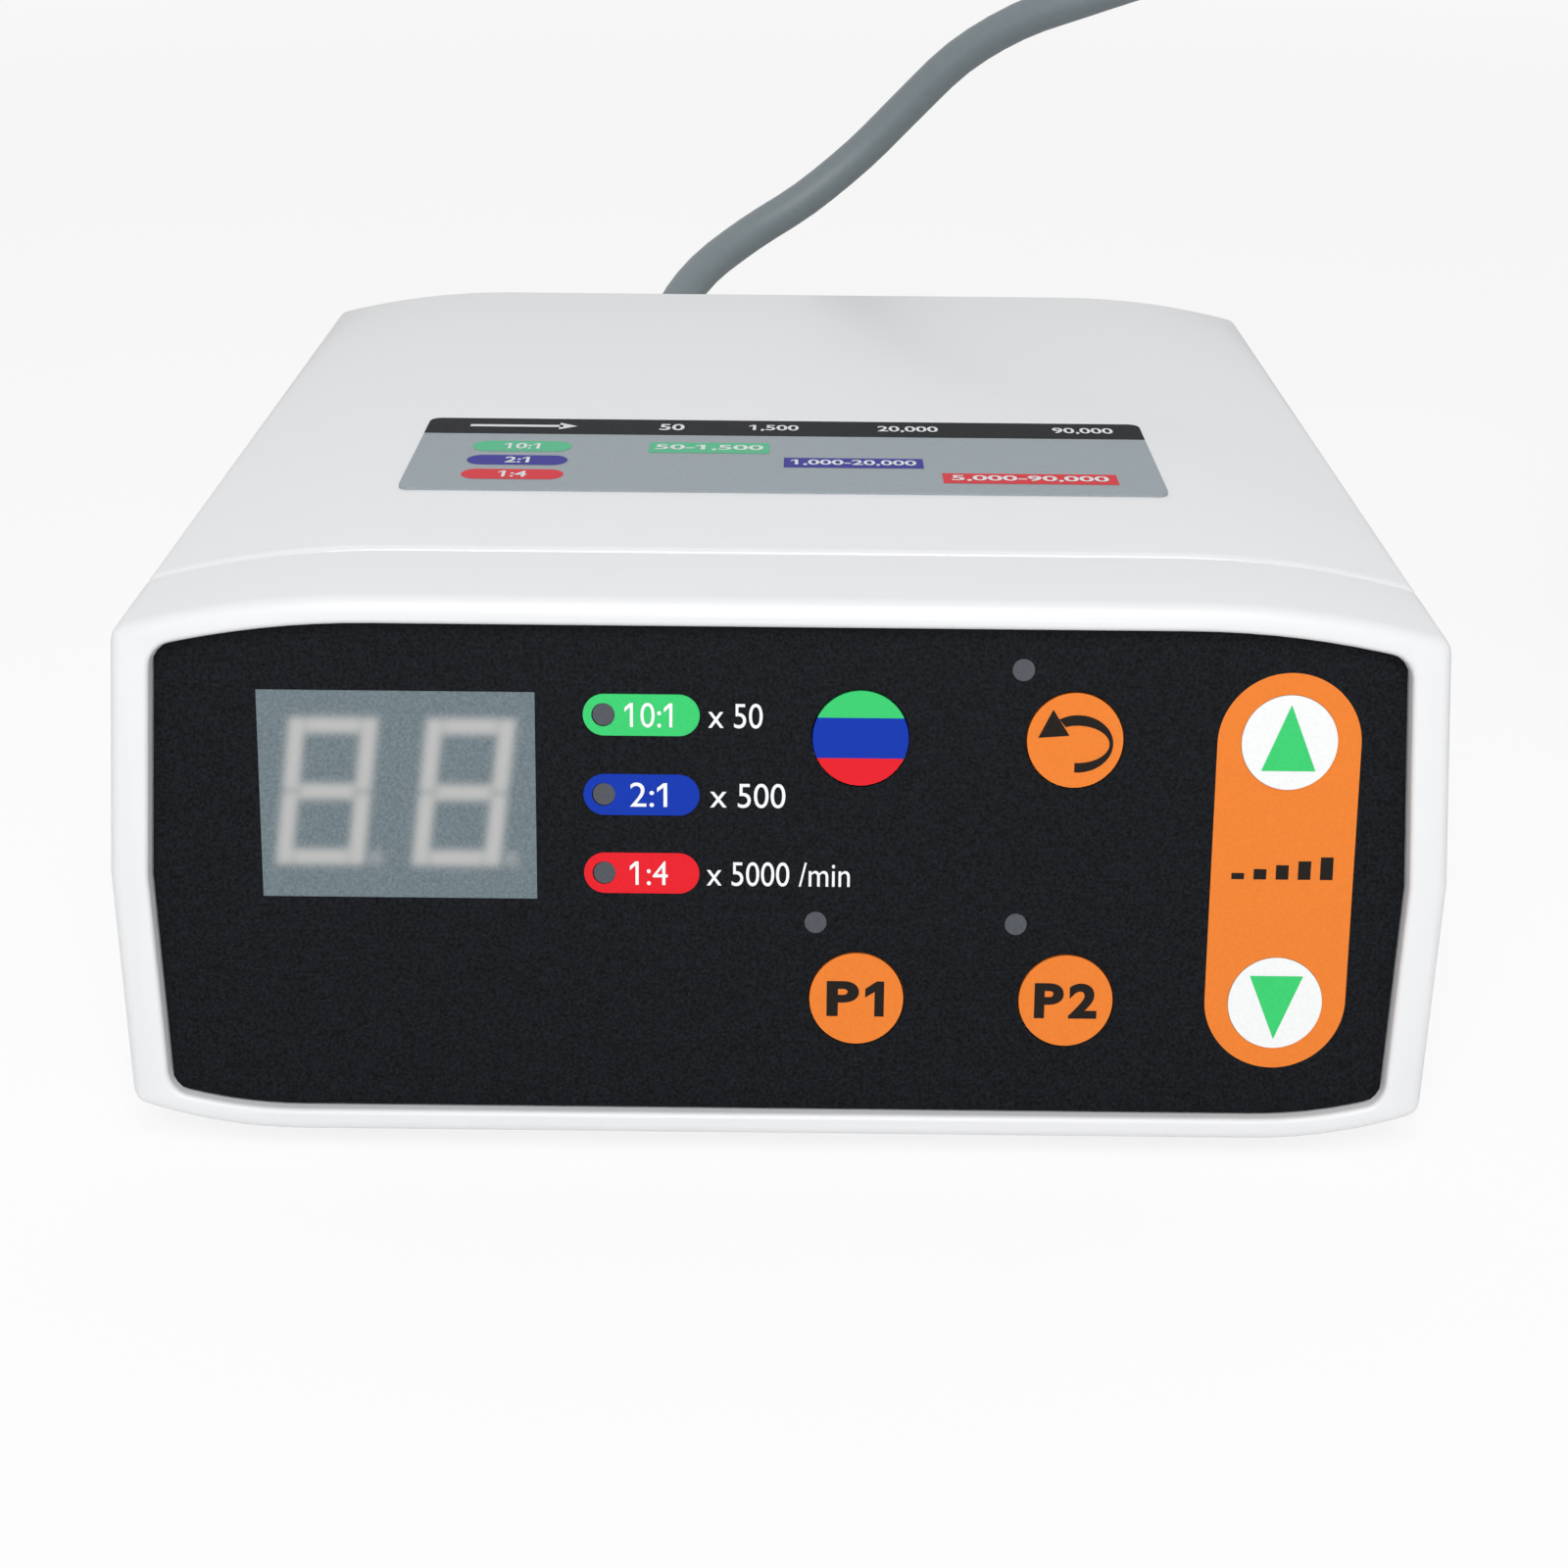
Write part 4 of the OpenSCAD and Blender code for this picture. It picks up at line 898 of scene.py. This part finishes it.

# Frosted digits: a fine sheet on the window whose points carry the blurred light of the strokes behind, painted as
# colour
STROKE_W = 1.5
BLUR = 0.34
DOT_GLOW = 0.42
DOT_SIZE = (1.25, 1.35)
DOT_FROM_CORNER = (1.05, -0.05)
SLANT = 0.125
DIGIT_MIDDLES = ((-42.68, 33.5), (-29.77, 33.5))
DIGIT_W = 6.83
DIGIT_H = 12.68
STROKE_GAP = 0.12
SHEET_STEP = 0.25
SHEET_LIFT = 0.012
SHEET_INSET = Vector((0.05, 0.05))
LIT_DIGIT_COLOUR = srgb(180, 180, 179)


def blurred_step(x):
    return 0.5 * (1 + math.erf(x / (BLUR * math.sqrt(2))))


def blurred_box(x, y, x0, y0, x1, y1):
    """Brightness at a point of an oblong with blurred edges."""
    return (blurred_step(x - x0) - blurred_step(x - x1)) * (blurred_step(y - y0) - blurred_step(y - y1))


def strokes():
    """The seven strokes of an upright digit round its middle."""
    w, h, half = DIGIT_W / 2, DIGIT_H / 2, STROKE_W / 2
    level = [(-w + half + STROKE_GAP, y - half, w - half - STROKE_GAP, y + half) for y in (h, 0, -h)]
    upright = [(x - half, y0, x + half, y1) for x in (-w, w)
               for y0, y1 in ((STROKE_GAP, h + half), (-h - half, -STROKE_GAP))]
    return level + upright


def digit_glow(u, v):
    """Brightness of the two digits and their dots at a place on the face."""
    total = 0
    for x, y in DIGIT_MIDDLES:
        dy = v - y
        dx = u - x - SLANT * dy
        total += sum(blurred_box(dx, dy, *box) for box in strokes())
        dot_x, dot_y = u - x - DIGIT_W / 2 - DOT_FROM_CORNER[0], dy + DIGIT_H / 2 - DOT_FROM_CORNER[1]
        half_w, half_h = DOT_SIZE[0] / 2, DOT_SIZE[1] / 2
        total += DOT_GLOW * blurred_box(dot_x, dot_y, -half_w, -half_h, half_w, half_h)
    return min(1, total)


def frosted_finish():
    """The window's finish, blended towards the lit colour by the sheet's painted glow."""
    made = window_finish("window_digits")
    tree = made.node_tree
    shader = tree.nodes["Principled BSDF"]
    dull = shader.inputs["Base Color"].links[0].from_socket
    glow = tree.nodes.new("ShaderNodeAttribute")
    glow.attribute_name = "glow"
    blend = tree.nodes.new("ShaderNodeMix")
    blend.data_type = "RGBA"
    sockets = {s.identifier: s for s in blend.inputs}
    tree.links.new(glow.outputs["Fac"], sockets["Factor_Float"])
    tree.links.new(dull, sockets["A_Color"])
    sockets["B_Color"].default_value = LIT_DIGIT_COLOUR
    results = {s.identifier: s for s in blend.outputs}
    tree.links.new(results["Result_Color"], shader.inputs["Base Color"])
    return made


def add_digits():
    low, high = face_span("display_window")
    u0, v0 = low.to_2d() / MM + SHEET_INSET
    u1, v1 = high.to_2d() / MM - SHEET_INSET
    columns, rows = round((u1 - u0) / SHEET_STEP), round((v1 - v0) / SHEET_STEP)
    bm = bmesh.new()
    glow = bm.verts.layers.float.new("glow")
    grid = []
    for j in range(rows + 1):
        v = v0 + (v1 - v0) * j / rows
        grid.append([])
        for i in range(columns + 1):
            u = u0 + (u1 - u0) * i / columns
            vert = bm.verts.new(window_plane @ (Vector((u, v, SHEET_LIFT)) * MM))
            vert[glow] = digit_glow(u, v)
            grid[-1].append(vert)
    for row, above in zip(grid, grid[1:]):
        for i in range(columns):
            bm.faces.new((row[i], row[i + 1], above[i + 1], above[i]))
    # painted glow: the digits' light is carried as the sheet's colour and is not emitted
    add_piece("digit_glow_sheet", mesh_from(bm, "digit_glow_sheet"), [frosted_finish()], "unit")


add_digits()

# Speed table on the top: places are shares of its width from the left and of its depth from the back,
# while its corner, the widths of words and the heights of capitals are millimetres
label_low, label_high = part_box("range_label")
label_w = (label_high.x - label_low.x) / MM
label_d = (label_high.y - label_low.y) / MM
label_plane = Matrix.Translation((label_low.x, label_high.y, label_high.z))
LABEL_R = 1.2
HEADER_DEPTH = 0.23
POINTER_BAR = (0.06, 0.19, 0.016)
POINTER_TIP = (0.185, 0.21, 0.05)
HEADINGS = (("50", 0.3425, 2.8), ("1,500", 0.485, 5.6), ("20,000", 0.6725, 6.8), ("90,000", 0.9175, 6.8))
HEADING_CAP = 2.2
TABLE_ROWS = ((0.34, 0.49), (0.545, 0.68), (0.74, 0.875))
TABLE_PILL = (0.075, 0.21)
TABLE_BARS = (("50-1,500", 0.316, 0.48), ("1,000-20,000", 0.5, 0.687), ("5,000-90,000", 0.71, 0.94))
TABLE_CAP = 1.9
TABLE_WEIGHT = 0.02
TABLE_FILL = 0.9


def on_label(u, w):
    return (u * label_w, -w * label_d)


def label_box(u0, w0, u1, w1):
    return oblong(*on_label(u0, w1), *on_label(u1, w0))


def upright_corner(edge):
    run = edge.verts[1].co - edge.verts[0].co
    return run.to_2d().length < NEAR


def header_outline():
    """The dark strip along the label's back edge, with the label's two rounded corners."""
    r = LABEL_R
    low = -HEADER_DEPTH * label_d
    front = [(0, low), (label_w, low)]
    return front + arc((label_w - r, -r), r, 0, 90, steps=6) + arc((r, -r), r, 90, 180, steps=6)


def header_pointer():
    """Outlines of the bar and the tip of the arrow in the header, which stands for its first heading."""
    middle = HEADER_DEPTH / 2
    left, right, half = POINTER_BAR
    root, end, wing = POINTER_TIP
    tip = [on_label(root, middle - wing), on_label(end, middle), on_label(root, middle + wing)]
    return label_box(left, middle - half, right, middle + half), tip


def add_label_print():
    softened("range_label", [(upright_corner, LABEL_R * MM, ROUND)])
    table = Print("label_print", label_plane, "unit")
    table.shape(header_outline(), label_dark)
    for outline in header_pointer():
        table.shape(outline, label_light, OVERPRINT_LIFT)

    def write(text, place, cap, width=None):
        table.words(text, place, cap, label_light, width, TABLE_WEIGHT, OVERPRINT_LIFT)

    for text, u, width in HEADINGS:
        write(text, on_label(u, HEADER_DEPTH / 2), HEADING_CAP, width)
    inks = (label_green, label_blue, label_red)
    for (w0, w1), ink, (ratio, _), (span, left, right) in zip(TABLE_ROWS, inks, RATIOS, TABLE_BARS):
        row = (w0 + w1) / 2
        place = on_label(sum(TABLE_PILL) / 2, row)
        table.shape(pill(place, (TABLE_PILL[1] - TABLE_PILL[0]) * label_w, (w1 - w0) * label_d), ink)
        write(ratio, place, TABLE_CAP)
        table.shape(label_box(left, w0, right, w1), ink)
        write(span, on_label((left + right) / 2, row), TABLE_CAP, (right - left) * label_w * TABLE_FILL)
    table.done()


add_label_print()

# Marks on the two halves of the power rocker, in millimetres
OFF_MARK_R = (1.15, 1.6)
ON_MARK_SIZE = (0.5, 3.2)
ROCKER_FACE_AREA = 10
ROCKER_LOOK = 0.9


def rocker_plane(upper):
    """Plane in the middle of the rocker's upper or lower half, with its own up and outward ways."""
    mesh = nodes["switch_rocker"].data
    low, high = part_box("switch_rocker")
    middle_z = (low.z + high.z) / 2
    faces = [p for p in mesh.polygons
             if p.area > ROCKER_FACE_AREA * MM ** 2 and p.normal.y > ROCKER_LOOK
             and (p.center.z > middle_z) == upper]
    area = sum(p.area for p in faces)
    centre = sum((p.center * p.area for p in faces), Vector()) / area
    out = sum((p.normal * p.area for p in faces), Vector()).normalized()
    across = Vector((0, 0, 1)).cross(out).normalized()
    turn = Matrix((across, out.cross(across), out)).transposed().to_4x4()
    return Matrix.Translation(centre) @ turn


def add_rocker_marks():
    on = Print("rocker_on_mark", rocker_plane(True), body_of_node["switch_rocker"])
    half_w, half_h = ON_MARK_SIZE[0] / 2, ON_MARK_SIZE[1] / 2
    on.shape(oblong(-half_w, -half_h, half_w, half_h), print_white)
    on.done()
    off = Print("rocker_off_mark", rocker_plane(False), body_of_node["switch_rocker"])
    inner, outer = OFF_MARK_R
    for start in (0, 180):
        ring = arc((0, 0), outer, start, start + 180, steps=20)
        ring += arc((0, 0), inner, start + 180, start, steps=20)
        off.shape(ring, print_white)
    off.done()


add_rocker_marks()

# Floor and light, in metres and watts
FLOOR_SIZE = 12
FLOOR_COLOUR = srgb(250, 250, 250)
FLOOR_SHEER = 0.8
FLOOR_FADE = (0.35, 1.6)
WORLD_LIGHT = 0.45
LIGHT_TARGET = Vector((0, 0, 0.03))
LAMPS = (
    {"name": "key_light", "place": (0, -1.05, 0.5), "size": 0.5, "power": 1.9},
    {"name": "fill_light", "place": (0, -0.36, 0.48), "size": 0.4, "power": 1.65},
    {"name": "back_light", "place": (-0.15, 0.5, 0.9), "size": 0.8, "power": 0.3},
)


def add_floor():
    """Pale floor with a light shadow, which the camera sees nearer to white, and as white far away."""
    finish = surface("floor", FLOOR_COLOUR, 0.9, grain=40, depth=0, tint=0.004, gloss=0.1)
    tree = finish.node_tree
    path = tree.nodes.new("ShaderNodeLightPath")
    place = tree.nodes.new("ShaderNodeTexCoord")
    away = tree.nodes.new("ShaderNodeVectorMath")
    away.operation = "LENGTH"
    fade = tree.nodes.new("ShaderNodeMapRange")
    fade.interpolation_type = "SMOOTHSTEP"
    fade.inputs["From Min"].default_value, fade.inputs["From Max"].default_value = FLOOR_FADE
    fade.inputs["To Min"].default_value = FLOOR_SHEER
    share = tree.nodes.new("ShaderNodeMath")
    share.operation = "MULTIPLY"
    white = tree.nodes.new("ShaderNodeEmission")
    mix = tree.nodes.new("ShaderNodeMixShader")
    tree.links.new(place.outputs["Object"], away.inputs[0])
    tree.links.new(away.outputs["Value"], fade.inputs["Value"])
    tree.links.new(path.outputs["Is Camera Ray"], share.inputs[0])
    tree.links.new(fade.outputs["Result"], share.inputs[1])
    tree.links.new(share.outputs["Value"], mix.inputs["Fac"])
    tree.links.new(tree.nodes["Principled BSDF"].outputs["BSDF"], mix.inputs[1])
    tree.links.new(white.outputs["Emission"], mix.inputs[2])
    tree.links.new(mix.outputs["Shader"], tree.nodes["Material Output"].inputs["Surface"])
    bm = bmesh.new()
    bmesh.ops.create_grid(bm, x_segments=1, y_segments=1, size=FLOOR_SIZE / 2)
    mesh = mesh_from(bm, "floor")
    mesh.materials.append(finish)
    floor = add_object("floor", mesh)


def add_light(name, place, size, power):
    data = bpy.data.lights.new(name, "AREA")
    data.shape = "DISK"
    data.size = size
    data.energy = power
    lamp = add_object(name, data)
    lamp.location = place
    lamp.rotation_euler = (LIGHT_TARGET - Vector(place)).to_track_quat("-Z", "Y").to_euler()


def add_world():
    """White for the camera, for reflections and for what clear pieces let through, softer as light."""
    world = bpy.data.worlds.new("studio")
    world.use_nodes = True
    bpy.context.scene.world = world
    tree = world.node_tree
    sky = tree.nodes["Background"]
    sky.inputs["Color"].default_value = WHITE
    path = tree.nodes.new("ShaderNodeLightPath")
    seen = path.outputs["Is Camera Ray"]
    for ray in ("Is Glossy Ray", "Is Transmission Ray"):
        either = tree.nodes.new("ShaderNodeMath")
        either.operation = "MAXIMUM"
        tree.links.new(seen, either.inputs[0])
        tree.links.new(path.outputs[ray], either.inputs[1])
        seen = either.outputs["Value"]
    level = tree.nodes.new("ShaderNodeMapRange")
    level.inputs["To Min"].default_value = WORLD_LIGHT
    level.inputs["To Max"].default_value = 1
    tree.links.new(seen, level.inputs["Value"])
    tree.links.new(level.outputs["Result"], sky.inputs["Strength"])


add_floor()
add_world()
for lamp in LAMPS:
    add_light(**lamp)
bpy.context.scene.view_settings.view_transform = "Standard"
